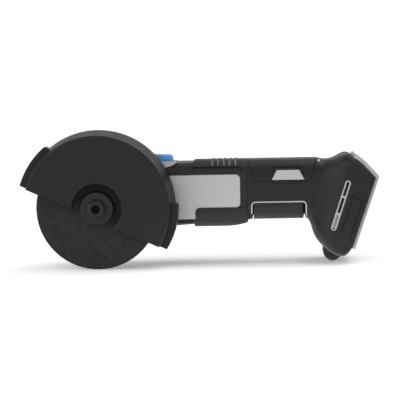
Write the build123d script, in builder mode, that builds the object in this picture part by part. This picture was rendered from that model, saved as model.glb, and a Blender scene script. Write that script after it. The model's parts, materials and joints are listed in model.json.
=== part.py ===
from build123d import *
import math
import os

os.makedirs("parts", exist_ok=True)

# Cordless one-handed angle grinder with a small cutting disc, without its battery.
# The origin is the middle of the disc on the spindle axis. +X runs from the spindle to the
# battery foot, +Y from the disc to the far side of the tool, +Z is up. Sizes are in millimetres.

# Fits and gaps
running_fit = 0.03
seat_fit = 0.02
swivel_fit = 0.08
moving_gap = 0.4
trim_gap = 0.05

# Cutting disc and its clamp
disc_diameter = 76.0
disc_thickness = 1.2
disc_bore = 10.0
flange_diameter = 20.6
flange_rim = 1.2
outer_flange_thickness = 6.0
inner_flange_thickness = 4.4
pilot_length = 0.9
clamp_diameter = 6.0
clamp_head_diameter = 10.0
clamp_head_height = 6.0
clamp_length = 17.0
clamp_hex = 5.0
clamp_hex_depth = 3.0
clamp_edge = 0.6

# Guard
guard_clearance = 7.9
guard_wall = 1.8
guard_front = 10.0
guard_back = 9.0
guard_edge_drop = 6.2
guard_edge_radius = 0.9
guard_draft = 3.1
guard_tilt = 24.3
guard_cutout_diameter = 28.6
guard_lip_width = 3.6
guard_lip_radius = 3.0
guard_strip_height = 2.0
guard_strip_rise = 21.6
guard_strip_front = 3.0
guard_ring_width = 5.0

# Collar and bearing cover
collar_diameter = 28.0
collar_gap = 0.4
retainer_thickness = 1.4
retainer_depth = 0.8
retainer_height = 1.5
retainer_opening = 7.0
guard_play = 0.2
cover_gap = 1.4
cover_inset = 1.2
cover_screw_diameter = 3.0
cover_screw_head = 5.5
cover_screw_length = 9.0
cross_length = 3.3
cross_width = 0.9
cross_depth = 0.8
cover_screw_places = [(-13.0, 15.0), (8.8, 18.2), (19.6, 5.0), (17.0, -6.5)]

# Spindle, bevel gears and their bearings
spindle_diameter = 10.0
spindle_far_diameter = 8.0
spindle_thread_depth = 9.0
main_bearing_diameter = 22.0
main_bearing_width = 6.0
far_bearing_diameter = 22.0
far_bearing_width = 7.0
far_bearing_start = 40.5
gear_teeth = 24
pinion_teeth = 12
gear_pitch_radius = 11.0
tooth_length = 4.6
tooth_addendum = 0.85
tooth_dedendum = 1.1
tooth_root_width = 1.7
tooth_tip_width = 0.75
tooth_sink = 0.25
gear_hub_diameter = 16.0
gear_hub_start = 15.0
gear_web = 2.0
lock_holes = 4
lock_hole_depth = 2.4
bearing_rim = 1.2
shield_depth = 0.4

# Motor
shaft_diameter = 5.0
shaft_front_diameter = 4.0
pinion_hub_length = 5.5
front_bearing_diameter = 14.0
front_bearing_width = 5.0
front_bearing_start = 19.0
rear_bearing_diameter = 13.0
rear_bearing_width = 4.0
stator_diameter = 21.0
stator_start = 40.0
stator_length = 36.0
rotor_diameter = 13.6
air_gap = 0.5
winding_length = 3.2
winding_inset = 0.6
end_cap_gap = 0.8
end_cap_length = 6.0
fan_start = 29.0
fan_length = 6.0
fan_blades = 9
fan_blade_thickness = 1.2
fan_hub_diameter = 11.0
fan_gap = 0.9

# Gear head
body_centre = 33.0
head_half_width = 19.6
head_low = -14.4
head_high = 26.2
head_rear = 58.7
head_taper_start = 30.0
head_taper = 2.0
head_edge_radius = 6.0
gear_room = 1.0
pinion_room_radius = 8.5
motor_bore_start = 26.0
motor_room = 0.7
vent_slots = 8
vent_slot_width = 0.7
vent_slot_pitch = 1.3
vent_slot_height = 2.2
vent_gap = 0.4
vent_slot_end = 57.3

# Side panels
panel_gap = 0.15
panel_high = 18.5
panel_low = -2.05
panel_heel = -8.9
panel_end = 87.6
panel_step = 59.6
panel_corner = 2.8
panel_edge = 0.45
panel_spindle_radius = 23.5

# Handle: motor barrel, grip, neck and foot
wall = 1.8
overmould_thickness = 1.8
barrel_half_width = 18.2
barrel_low = -12.4
barrel_high = 25.5
barrel_corner = 8.0
bulkhead = 3.0
bump_end = 76.0
overmould_end = 92.0
rib_count = 5
rib_first = 70.4
rib_pitch = 3.6
rib_width = 1.5
rib_height = 0.4
band_width = 5.2
band_depth = 0.8
grip_half_width = 20.0
grip_low = -10.3
grip_high = 27.3
grip_corner = 10.0
neck_top_x = 135.6
neck_throat_x = 129.4
neck_waist_top = (145.4, 26.9)
neck_waist_bottom = (132.6, -18.8)
neck_waist_half_width = 20.4
neck_waist_corner = 9.0
foot_half_width = 26.8
foot_swell = 0.5
foot_front_top = (152.4, 29.8)
foot_front_low = (138.2, -26.8)
foot_front_step = 1.4
foot_front_corner = 8.0
foot_shoulder_top = (157.2, 29.2)
foot_shoulder_low = (144.4, -31.4)
foot_shoulder_corner = 6.5
foot_bend_top = (163.6, 24.2)
foot_toe = (150.4, -33.2)
foot_bend_corner = 5.0
foot_corner = (171.3, 15.8)
foot_heel = (156.1, -28.2)
foot_face_corner = 4.0
groove_path = [(41.0, -3.2), (16.5, -3.2), (15.0, -9.6), (38.5, -9.6)]
groove_width = 1.4
groove_depth = 0.9

# Battery seat on the rear face of the foot
seat_thickness = 2.0
seat_sink = 1.2
seat_margin = 2.3
seat_top_margin = 1.0
seat_stop = 8.0
pocket_half_width = 22.0
pocket_depth = 9.0
rail_lip = 4.0
terminal_length = 20.0
terminal_half_width = 12.0
terminal_height = 5.5
terminal_margin = 1.0
blade_length = 12.0
blade_height = 5.0
blade_thickness = 0.8
blade_places = [-9.0, -3.0, 3.0, 9.0]

# Trim on the foot and the lug under it
slot_top = (154.1, 12.3)
slot_bottom = (145.0, -15.0)
slot_width = 3.4
slot_line = 0.8
slot_bar = 1.2
slot_bar_place = 5.5
slot_fill = 9.0
slot_recess = 0.3
slot_depth = 1.0
lug_centre = (144.8, -31.0)
lug_radius = 6.1
lug_width = 18.0
lug_edge_radius = 1.5

# Top cover
cover_start = 92.3
cover_slant = 4.6
cover_end = 135.4
cover_low = 14.2
cover_thickness = 1.0
cover_seam = 0.3

# Trigger and its window
window_start = 95.0
window_end = 128.0
window_high = 0.6
window_corner = 2.0
trigger_gap = 0.6
trigger_rear_gap = 1.1
trigger_top = 3.0
trigger_wall = 2.2
trigger_corner = 10.5
trigger_side_gap = 0.35
trigger_pin_diameter = 3.0
trigger_pin_place = (99.5, 4.6)
trigger_boss_diameter = 5.6
trigger_trim_width = 0.8
trigger_trim_depth = 0.9
trigger_tab = 0.9
trigger_tab_gap = 1.0
trigger_tab_height = 7.4
trigger_tab_half_width = 10.0

# Lock-off button
lock_off_low = 14.7
lock_off_high = 20.7
lock_off_start = 107.2
lock_off_end = 127.6
lock_off_slant = 3.2
lock_off_proud = 0.7
lock_off_cap = 8.2
lock_off_flange = 1.2
lock_off_flange_width = 1.4
lock_off_bar = 4.0
lock_off_gap = 0.8
lock_off_rim = 1.4
lock_off_rim_depth = 0.45

# Switch and controller
switch_start = 104.0
switch_end = 123.5
switch_low = 4.2
switch_high = 13.2
switch_half_width = 8.0
switch_edge = 0.5
board_start = 65.0
board_end = 90.0
board_gap = 0.2
board_height = 15.0
board_thickness = 1.6
chip_size = 5.0
chip_height = 2.0
chip_pitch = 7.0
chip_rows = (3, 2)

# Spindle lock
lock_y = 19.0
lock_button_start = -6.0
lock_button_end = 45.8
lock_button_near = 16.2
lock_button_far = 29.8
lock_button_low = 24.2
lock_button_high = 32.4
lock_button_tip_radius = 2.2
lock_button_shoulder = 31.0
lock_button_ramp = 20.0
lock_button_edge = 1.2
lock_travel = 3.0
lock_pin_diameter = 4.0
lock_pin_gap = 0.9
lock_spring_diameter = 6.0
lock_spring_wire = 0.8
lock_spring_turns = 5
lock_spring_seat = 15.2
cradle_wall = 1.9
cradle_top = 27.3
cradle_low = 23.4
cradle_bow = 9.0
cradle_bow_pull = 6.0
cradle_edge = 0.95

# Screws of the housing
housing_screw_diameter = 3.0
housing_screw_head = 5.6
housing_screw_head_depth = 3.0
housing_screw_length = 26.0
boss_diameter = 8.4
housing_screw_seat = 12.0
housing_screw_places = [(97.5, 12.8), (132.5, 8.0), (140.6, -14.0), (143.0, 17.5)]
gear_screw_diameter = 3.0
gear_screw_head = 5.0
gear_screw_head_height = 2.4
gear_screw_length = 14.0
gear_screw_high = (13.0, 18.2)
gear_screw_angle = 32.0
gear_screw_gap = 0.4

# Power leads from the switch to the battery terminals
lead_diameter = 2.4
lead_places = [-5.0, 5.0]
lead_height = 11.4
lead_turns = [(126.0, 11.4), (129.5, 14.4), (135.5, 14.4), (141.0, 8.5)]
lead_bend = 2.0
lead_straight = 7.0

# Places along the spindle
disc_front = -disc_thickness / 2
disc_back = disc_thickness / 2
outer_flange_front = disc_front - outer_flange_thickness
inner_flange_back = disc_back + inner_flange_thickness
spindle_nose = disc_back + inner_flange_thickness / 2
collar_front = inner_flange_back + collar_gap
head_near = body_centre - head_half_width
cover_near = guard_back + cover_gap
retainer_front = guard_back - guard_wall - guard_play - retainer_thickness

# Places along the motor axis
gear_ratio = gear_teeth / pinion_teeth
pinion_pitch_radius = gear_pitch_radius / gear_ratio
cone_length = math.hypot(gear_pitch_radius, pinion_pitch_radius)
cone_small = cone_length - tooth_length
tooth_shrink = cone_small / cone_length
gear_outer_radius = gear_pitch_radius + tooth_addendum
stator_end = stator_start + stator_length
end_cap_start = stator_end + winding_length + end_cap_gap
end_cap_end = end_cap_start + end_cap_length
rear_bearing_start = end_cap_end - rear_bearing_width
motor_bore = stator_diameter / 2 + motor_room
gear_screw_ring = (stator_diameter + gear_screw_head) / 2 + gear_screw_gap
gear_screw_low = (
    gear_screw_ring * math.cos(math.radians(gear_screw_angle)),
    -gear_screw_ring * math.sin(math.radians(gear_screw_angle)),
)
gear_screw_places = [(side * y, z) for y, z in (gear_screw_high, gear_screw_low) for side in (-1, 1)]

# Radii of the guard
guard_radius = disc_diameter / 2 + guard_clearance + guard_wall
guard_inner_radius = guard_radius - guard_wall
collar_radius = collar_diameter / 2

spindle_axis = Axis.Y
motor_axis = Axis((0, body_centre, 0), (1, 0, 0))
spindle_plane = Plane.XY
motor_plane = Plane((0, body_centre, 0))


def facing(y):
    """Plane across the spindle at y. Its sketches use (X, Z), and a negative extrusion runs to +Y."""
    return Plane.XZ.offset(-y)


def guard_plane(y):
    """Plane across the spindle at y, turned so that the straight edge of the guard is level."""
    tilt = math.radians(guard_tilt)
    return Plane((0, y, 0), x_dir=(math.cos(tilt), 0, -math.sin(tilt)), z_dir=(0, -1, 0))


def section(x):
    """Plane across the handle at x. Its sketches use (Y from the mid-plane, Z)."""
    return Plane((x, body_centre, 0), x_dir=(0, 1, 0), z_dir=(1, 0, 0))


def bearing(plane, bore, diameter, width):
    """Ball bearing as one ring with a shallow recess for the shield on each face."""
    with BuildPart() as ring:
        with BuildSketch(plane):
            Circle(diameter / 2)
            Circle(bore / 2 + running_fit, mode=Mode.SUBTRACT)
        extrude(amount=-width)
        for face_plane, depth in ((plane, -shield_depth), (plane.offset(-width), shield_depth)):
            with BuildSketch(face_plane):
                Circle(diameter / 2 - bearing_rim)
                Circle(bore / 2 + bearing_rim, mode=Mode.SUBTRACT)
            extrude(amount=depth, mode=Mode.SUBTRACT)
    return ring.part


# Cutting disc with a plain bore
with BuildPart() as cutting_disc:
    with BuildSketch(facing(disc_front)):
        Circle(disc_diameter / 2)
        Circle(disc_bore / 2, mode=Mode.SUBTRACT)
    extrude(amount=-disc_thickness)
cutting_disc.part.label = "cutting_disc"
export_step(cutting_disc.part, "parts/cutting_disc.step")

# Outer flange: a thick washer, relieved on the disc side so that only its rim clamps
with BuildPart() as outer_flange:
    with BuildSketch(facing(outer_flange_front)):
        Circle(flange_diameter / 2)
        Circle(clamp_diameter / 2 + running_fit, mode=Mode.SUBTRACT)
    extrude(amount=-outer_flange_thickness)
    fillet(outer_flange.edges().group_by(Axis.Y)[0].sort_by(SortBy.RADIUS)[-1], flange_rim)
    with BuildSketch(facing(disc_front)):
        Circle(disc_bore / 2 + flange_rim)
        Circle(clamp_diameter / 2 + running_fit, mode=Mode.SUBTRACT)
    extrude(amount=flange_rim / 2, mode=Mode.SUBTRACT)
outer_flange.part.label = "outer_flange"
export_step(outer_flange.part, "parts/outer_flange.step")

# Inner flange: seats on the spindle nose and centres the disc on its pilot
with BuildPart() as inner_flange:
    with BuildSketch(facing(disc_back - pilot_length)):
        Circle(disc_bore / 2 - seat_fit)
    extrude(amount=-pilot_length)
    with BuildSketch(facing(disc_back)):
        Circle(flange_diameter / 2)
    extrude(amount=-inner_flange_thickness)
    with BuildSketch(facing(disc_back - pilot_length)):
        Circle(clamp_diameter / 2 + running_fit)
    extrude(amount=-(pilot_length + inner_flange_thickness), mode=Mode.SUBTRACT)
    with BuildSketch(facing(spindle_nose)):
        Circle(spindle_diameter / 2 + seat_fit)
    extrude(amount=-(inner_flange_back - spindle_nose), mode=Mode.SUBTRACT)
inner_flange.part.label = "inner_flange"
export_step(inner_flange.part, "parts/inner_flange.step")

# Clamp screw with a hex socket
with BuildPart() as clamp_screw:
    with BuildSketch(facing(outer_flange_front - clamp_head_height)):
        Circle(clamp_head_diameter / 2)
    extrude(amount=-clamp_head_height)
    chamfer(clamp_screw.edges().group_by(Axis.Y)[0], clamp_edge)
    with BuildSketch(facing(outer_flange_front)):
        Circle(clamp_diameter / 2)
    extrude(amount=-clamp_length)
    with BuildSketch(facing(outer_flange_front - clamp_head_height)):
        RegularPolygon(clamp_hex / 2, 6, major_radius=False)
    extrude(amount=-clamp_hex_depth, mode=Mode.SUBTRACT)
clamp_screw.part.label = "clamp_screw"
export_step(clamp_screw.part, "parts/clamp_screw.step")

# Spindle: threaded at the nose, stepped down for the far bearing
spindle_step = body_centre - pinion_pitch_radius + tooth_dedendum
spindle_end = far_bearing_start + far_bearing_width
with BuildPart() as spindle:
    with BuildSketch(facing(spindle_nose)):
        Circle(spindle_diameter / 2)
    extrude(amount=-(spindle_step - spindle_nose))
    with BuildSketch(facing(spindle_step)):
        Circle(spindle_far_diameter / 2)
    extrude(amount=-(spindle_end - spindle_step))
    with BuildSketch(facing(spindle_nose)):
        Circle(clamp_diameter / 2 + running_fit)
    extrude(amount=-spindle_thread_depth, mode=Mode.SUBTRACT)
spindle.part.label = "spindle"
export_step(spindle.part, "parts/spindle.step")


def bevel_tooth(axis_direction, outward):
    """One straight bevel tooth. Its line runs from the shared apex along the pitch cone."""
    apex = Vector(0, body_centre, 0)
    across = outward.cross(axis_direction)
    with BuildPart() as tooth:
        for reach, share in ((cone_small, tooth_shrink), (cone_length, 1.0)):
            with BuildSketch(Plane(apex + axis_direction * reach, x_dir=across, z_dir=axis_direction)):
                with BuildLine():
                    Polyline(
                        (-tooth_root_width / 2 * share, -(tooth_dedendum + tooth_sink) * share),
                        (tooth_root_width / 2 * share, -(tooth_dedendum + tooth_sink) * share),
                        (tooth_tip_width / 2 * share, tooth_addendum * share),
                        (-tooth_tip_width / 2 * share, tooth_addendum * share),
                        close=True,
                    )
                make_face()
        loft()
    return tooth.part


cone_run = gear_pitch_radius / cone_length
cone_rise = pinion_pitch_radius / cone_length
mesh_line = Vector(cone_run, -cone_rise, 0)
gear_outward = Vector(cone_rise, cone_run, 0)
pinion_outward = Vector(-cone_rise, -cone_run, 0)
gear_root_big = (
    gear_pitch_radius - cone_rise * tooth_dedendum,
    body_centre - pinion_pitch_radius - cone_run * tooth_dedendum,
)
gear_root_small = (
    gear_pitch_radius * tooth_shrink - cone_rise * tooth_dedendum * tooth_shrink,
    body_centre - (pinion_pitch_radius + cone_run * tooth_dedendum) * tooth_shrink,
)
gear_tooth = bevel_tooth(mesh_line, gear_outward)

# Bevel gear with holes round its hub for the lock pin. A gap between teeth faces the pinion.
with BuildPart() as bevel_gear:
    with BuildSketch(spindle_plane):
        with BuildLine():
            Polyline(
                (spindle_diameter / 2 + seat_fit, gear_hub_start),
                (gear_hub_diameter / 2, gear_hub_start),
                (gear_hub_diameter / 2, gear_root_big[1] - 2 * gear_web),
                (gear_root_big[0], gear_root_big[1] - gear_web),
                gear_root_big,
                gear_root_small,
                (spindle_diameter / 2 + seat_fit, gear_root_small[1]),
                close=True,
            )
        make_face()
    revolve(axis=spindle_axis)
    for index in range(gear_teeth):
        add(gear_tooth.rotate(spindle_axis, (index + 0.5) * 360 / gear_teeth))
    with Locations(Location((0, lock_y, 0), (90, 0, 0))):
        with PolarLocations(gear_hub_diameter / 2, lock_holes):
            Cylinder(
                lock_pin_diameter / 2 + moving_gap,
                2 * lock_hole_depth,
                rotation=(0, 90, 0),
                mode=Mode.SUBTRACT,
            )
bevel_gear.part.label = "bevel_gear"
export_step(bevel_gear.part, "parts/bevel_gear.step")

pinion_root_big = (
    gear_pitch_radius + cone_rise * tooth_dedendum,
    pinion_pitch_radius - cone_run * tooth_dedendum,
)
pinion_root_small = (pinion_root_big[0] * tooth_shrink, pinion_root_big[1] * tooth_shrink)
pinion_hub_end = pinion_root_big[0] + pinion_hub_length
pinion_bore = shaft_front_diameter / 2 + seat_fit
pinion_tooth = bevel_tooth(mesh_line, pinion_outward)

# Bevel pinion on the front of the motor shaft. One tooth points at the gear.
with BuildPart() as bevel_pinion:
    with BuildSketch(motor_plane):
        with BuildLine():
            Polyline(
                (pinion_root_small[0], pinion_bore),
                pinion_root_small,
                pinion_root_big,
                (pinion_hub_end, pinion_root_big[1]),
                (pinion_hub_end, pinion_bore),
                close=True,
            )
        make_face()
    revolve(axis=motor_axis)
    for index in range(pinion_teeth):
        add(pinion_tooth.rotate(motor_axis, index * 360 / pinion_teeth))
bevel_pinion.part.label = "bevel_pinion"
export_step(bevel_pinion.part, "parts/bevel_pinion.step")

# Motor shaft, stepped down for the pinion
with BuildPart() as motor_shaft:
    with BuildSketch(section(pinion_root_small[0])):
        Circle(shaft_front_diameter / 2)
    extrude(amount=pinion_hub_end - pinion_root_small[0])
    with BuildSketch(section(pinion_hub_end)):
        Circle(shaft_diameter / 2)
    extrude(amount=end_cap_end - pinion_hub_end)
motor_shaft.part.label = "motor_shaft"
export_step(motor_shaft.part, "parts/motor_shaft.step")

# Rotor on the shaft
with BuildPart() as rotor:
    with BuildSketch(section(stator_start)):
        Circle(rotor_diameter / 2)
        Circle(shaft_diameter / 2 + seat_fit, mode=Mode.SUBTRACT)
    extrude(amount=stator_length)
rotor.part.label = "rotor"
export_step(rotor.part, "parts/rotor.step")

# Stator ring round the rotor
with BuildPart() as motor_stator:
    with BuildSketch(section(stator_start)):
        Circle(stator_diameter / 2)
        Circle(rotor_diameter / 2 + air_gap, mode=Mode.SUBTRACT)
    extrude(amount=stator_length)
motor_stator.part.label = "motor_stator"
export_step(motor_stator.part, "parts/motor_stator.step")

# End turns of the windings, one ring on each end of the stator
with BuildPart() as motor_windings:
    for start in (stator_start - winding_length, stator_end):
        with BuildSketch(section(start)):
            Circle(stator_diameter / 2 - winding_inset)
            Circle(rotor_diameter / 2 + air_gap + winding_inset, mode=Mode.SUBTRACT)
        extrude(amount=winding_length)
motor_windings.part.label = "motor_windings"
export_step(motor_windings.part, "parts/motor_windings.step")

# End cap that carries the rear motor bearing
with BuildPart() as motor_end_cap:
    with BuildSketch(section(end_cap_start)):
        Circle(stator_diameter / 2)
        Circle(shaft_diameter / 2 + moving_gap, mode=Mode.SUBTRACT)
    extrude(amount=end_cap_length)
    with BuildSketch(section(rear_bearing_start)):
        Circle(rear_bearing_diameter / 2 + seat_fit)
    extrude(amount=rear_bearing_width, mode=Mode.SUBTRACT)
motor_end_cap.part.label = "motor_end_cap"
export_step(motor_end_cap.part, "parts/motor_end_cap.step")

# Fan with straight blades on the motor shaft
fan_radius = motor_bore - fan_gap
with BuildPart() as fan:
    with BuildSketch(section(fan_start)):
        Circle(fan_hub_diameter / 2)
        Circle(shaft_diameter / 2 + seat_fit, mode=Mode.SUBTRACT)
    extrude(amount=fan_length)
    blade_middle = (fan_radius + fan_hub_diameter / 2) / 2
    with BuildSketch(section(fan_start)):
        with PolarLocations(blade_middle - fan_blade_thickness / 2, fan_blades):
            Rectangle(fan_radius - fan_hub_diameter / 2 + fan_blade_thickness, fan_blade_thickness)
    extrude(amount=fan_length)
    with BuildSketch(section(fan_start + fan_length)):
        Circle(fan_radius)
        Circle(shaft_diameter / 2 + seat_fit, mode=Mode.SUBTRACT)
    extrude(amount=fan_blade_thickness)
fan.part.label = "fan"
export_step(fan.part, "parts/fan.step")

# Bearings
spindle_bearing = bearing(facing(head_near - main_bearing_width), spindle_diameter,
                          main_bearing_diameter, main_bearing_width)
spindle_bearing.label = "spindle_bearing"
export_step(spindle_bearing, "parts/spindle_bearing.step")

spindle_far_bearing = bearing(facing(far_bearing_start), spindle_far_diameter,
                              far_bearing_diameter, far_bearing_width)
spindle_far_bearing.label = "spindle_far_bearing"
export_step(spindle_far_bearing, "parts/spindle_far_bearing.step")

motor_front_bearing = bearing(section(front_bearing_start + front_bearing_width), shaft_diameter,
                              front_bearing_diameter, front_bearing_width)
motor_front_bearing.label = "motor_front_bearing"
export_step(motor_front_bearing, "parts/motor_front_bearing.step")

motor_rear_bearing = bearing(section(end_cap_end), shaft_diameter,
                             rear_bearing_diameter, rear_bearing_width)
motor_rear_bearing.label = "motor_rear_bearing"
export_step(motor_rear_bearing, "parts/motor_rear_bearing.step")

# Room for the disc inside the guard
guard_span = 2 * (guard_radius + guard_strip_height)
with BuildPart() as disc_room:
    with BuildSketch(guard_plane(guard_wall - guard_front)):
        Circle(guard_inner_radius - guard_draft)
    with BuildSketch(guard_plane(guard_back - guard_wall)):
        Circle(guard_inner_radius)
    loft()
    with BuildSketch(guard_plane(guard_wall - guard_front)):
        with Locations((0, -2 * guard_edge_drop)):
            Rectangle(guard_span, guard_span, align=(Align.CENTER, Align.MIN))
    extrude(amount=-(guard_front + guard_back - 2 * guard_wall), mode=Mode.INTERSECT)

# Guard: a clamshell over one half of the disc, open along its straight edge. Its wall widens to the back.
with BuildPart() as guard:
    with BuildSketch(guard_plane(-guard_front)):
        Circle(guard_radius - guard_draft)
    with BuildSketch(guard_plane(guard_back)):
        Circle(guard_radius)
    loft()
    fillet(guard.edges().filter_by(GeomType.CIRCLE).group_by(Axis.Y)[0], guard_edge_radius)
    with BuildSketch(guard_plane(-guard_front)):
        with Locations((0, -guard_edge_drop)):
            Rectangle(guard_span, guard_span, align=(Align.CENTER, Align.MIN))
    extrude(amount=-(guard_front + guard_back), mode=Mode.INTERSECT)
    # Thick strips along the rim at both ends
    with BuildSketch(guard_plane(-guard_strip_front)):
        Circle(guard_radius + guard_strip_height)
        with Locations((0, -guard_edge_drop)):
            Rectangle(
                guard_span,
                guard_edge_drop + guard_strip_rise,
                align=(Align.CENTER, Align.MIN),
                mode=Mode.INTERSECT,
            )
    extrude(amount=-(guard_strip_front + guard_back))
    add(disc_room.part, mode=Mode.SUBTRACT)
    # Rolled lip round the hub
    with BuildSketch(guard_plane(-guard_front)):
        Circle(guard_cutout_diameter / 2 + guard_lip_width)
        with Locations((0, -guard_edge_drop)):
            Rectangle(guard_span, guard_span, align=(Align.CENTER, Align.MIN), mode=Mode.INTERSECT)
    extrude(amount=-guard_lip_width)
    with BuildSketch(guard_plane(-guard_front)):
        Circle(guard_cutout_diameter / 2)
    extrude(amount=-guard_lip_width, mode=Mode.SUBTRACT)
    lip_edges = guard.edges().filter_by(GeomType.CIRCLE).group_by(Axis.Y)[0]
    fillet(lip_edges.sort_by(SortBy.RADIUS)[0], guard_lip_radius)
    # Ring that swivels on the collar
    with BuildSketch(guard_plane(guard_back - guard_wall)):
        Circle(collar_radius + guard_ring_width)
    extrude(amount=-guard_wall)
    with BuildSketch(guard_plane(guard_back - guard_wall)):
        Circle(collar_radius + swivel_fit)
    extrude(amount=-guard_wall, mode=Mode.SUBTRACT)
guard.part.label = "guard"
export_step(guard.part, "parts/guard.step")

# Collar of the bearing cover, on which the guard swivels
collar_length = cover_near - collar_front


def head_outline(plane, inset):
    """Side outline of the gear head: round in front of the spindle, straight behind it."""
    low = head_low + inset
    high = head_high - inset
    with BuildSketch(plane) as outline:
        with BuildLine():
            Line((head_rear, high), (0, high))
            ThreePointArc((0, high), ((low - high) / 2, (low + high) / 2), (0, low))
            Polyline((0, low), (head_taper_start, low), (head_rear, low + head_taper), (head_rear, high))
        make_face()
    return outline.sketch


# Outer form of the gear head
with BuildPart() as head_form:
    extrude(head_outline(facing(head_near), 0), amount=-2 * head_half_width)
    near_edges = head_form.edges().group_by(Axis.Y)[0].sort_by(Axis.X)[:-1]
    far_edges = head_form.edges().group_by(Axis.Y)[-1].sort_by(Axis.X)[:-1]
    fillet(near_edges + far_edges, head_edge_radius)


def panel_outline(plane, gap):
    """Outline of a side panel, grown by gap. Its front edge runs round the spindle."""
    with BuildSketch(plane) as outline:
        with BuildLine():
            Polyline(
                (0, panel_high + gap),
                (panel_end + gap, panel_high + gap),
                (panel_end + gap, panel_low - gap),
                (panel_step + gap, panel_low - gap),
                (panel_step + gap, panel_heel - gap),
                (0, panel_heel - gap),
                close=True,
            )
        make_face()
        fillet(outline.vertices().group_by(Axis.X)[-1], panel_corner + gap)
        fillet(outline.vertices().group_by(Axis.X)[1].sort_by(Axis.Y)[-1], panel_corner)
        Circle(panel_spindle_radius - gap, mode=Mode.SUBTRACT)
    return outline.sketch


panel_thickness = head_half_width - barrel_half_width
panel_near_start = head_near
panel_far_start = body_centre + barrel_half_width

# Light side panels
with BuildPart() as side_panel_near:
    extrude(panel_outline(facing(panel_near_start), 0), amount=-panel_thickness)
    fillet(side_panel_near.faces().sort_by(Axis.Y)[0].edges(), panel_edge)
side_panel_near.part.label = "side_panel_near"
export_step(side_panel_near.part, "parts/side_panel_near.step")

with BuildPart() as side_panel_far:
    extrude(panel_outline(facing(panel_far_start), 0), amount=-panel_thickness)
    fillet(side_panel_far.faces().sort_by(Axis.Y)[-1].edges(), panel_edge)
side_panel_far.part.label = "side_panel_far"
export_step(side_panel_far.part, "parts/side_panel_far.step")

# Spindle lock: places along the pin
lock_floor = lock_button_low - lock_travel - moving_gap
lock_pin_tip = gear_hub_diameter / 2 + lock_pin_gap
lock_length = lock_button_end - lock_button_start
lock_width = lock_button_far - lock_button_near
lock_middle = ((lock_button_start + lock_button_end) / 2, (lock_button_near + lock_button_far) / 2)

# Room for the lock button, above the floor of its pocket
with BuildPart() as lock_room:
    with BuildSketch(Plane.XY.offset(lock_floor)):
        with Locations(lock_middle):
            Rectangle(lock_length + 2 * moving_gap, lock_width + 2 * moving_gap)
    extrude(amount=lock_button_high - lock_floor)

# Gear housing: cavity for the gears, seats for the bearings, bore for the motor
with BuildPart() as gear_housing:
    add(head_form.part)
    gear_cavity = gear_outer_radius + gear_room
    with BuildSketch(facing(head_near)):
        Circle(gear_cavity)
    extrude(amount=-(far_bearing_start - head_near), mode=Mode.SUBTRACT)
    with BuildSketch(facing(far_bearing_start)):
        Circle(far_bearing_diameter / 2 + seat_fit)
    extrude(amount=-far_bearing_width, mode=Mode.SUBTRACT)
    with BuildSketch(facing(spindle_end)):
        Circle(spindle_far_diameter / 2 + gear_room)
    extrude(amount=-gear_room, mode=Mode.SUBTRACT)
    with BuildSketch(section(0)):
        Circle(pinion_room_radius)
    extrude(amount=front_bearing_start, mode=Mode.SUBTRACT)
    with BuildSketch(section(front_bearing_start)):
        Circle(front_bearing_diameter / 2 + seat_fit)
    extrude(amount=front_bearing_width, mode=Mode.SUBTRACT)
    with BuildSketch(section(front_bearing_start + front_bearing_width)):
        Circle(shaft_diameter / 2 + moving_gap)
    extrude(amount=motor_bore_start - front_bearing_start, mode=Mode.SUBTRACT)
    with BuildSketch(section(motor_bore_start)):
        Circle(motor_bore)
    extrude(amount=head_rear - motor_bore_start, mode=Mode.SUBTRACT)
    # Recesses of the side panels
    extrude(panel_outline(facing(panel_near_start), panel_gap), amount=-panel_thickness, mode=Mode.SUBTRACT)
    extrude(panel_outline(facing(panel_far_start), panel_gap), amount=-panel_thickness, mode=Mode.SUBTRACT)
    # Pocket, bore and spring seat of the spindle lock
    add(lock_room.part, mode=Mode.SUBTRACT)
    with Locations((0, lock_y, lock_spring_seat)):
        Cylinder(
            lock_spring_diameter / 2 + moving_gap,
            lock_floor - lock_spring_seat,
            align=(Align.CENTER, Align.CENTER, Align.MIN),
            mode=Mode.SUBTRACT,
        )
    with Locations((0, lock_y, 0)):
        Cylinder(
            lock_pin_diameter / 2 + running_fit,
            lock_floor,
            align=(Align.CENTER, Align.CENTER, Align.MIN),
            mode=Mode.SUBTRACT,
        )
    # Tapped holes for the cover screws and the screws of the handle
    with BuildSketch(facing(head_near)):
        with Locations(*cover_screw_places):
            Circle(cover_screw_diameter / 2 + running_fit)
    extrude(amount=-cover_screw_length, mode=Mode.SUBTRACT)
    with BuildSketch(section(head_rear)):
        with Locations(*gear_screw_places):
            Circle(gear_screw_diameter / 2 + running_fit)
    extrude(amount=-gear_screw_length, mode=Mode.SUBTRACT)
    # Vent slots through both sides, below the panels
    vent_middle = panel_heel - panel_gap - vent_gap - vent_slot_height / 2
    with BuildSketch(facing(head_near)):
        for index in range(vent_slots):
            with Locations((vent_slot_end - index * vent_slot_pitch, vent_middle)):
                SlotOverall(vent_slot_height, vent_slot_width, rotation=90)
    extrude(amount=-2 * head_half_width, mode=Mode.SUBTRACT)
gear_housing.part.label = "gear_housing"
export_step(gear_housing.part, "parts/gear_housing.step")

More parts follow.
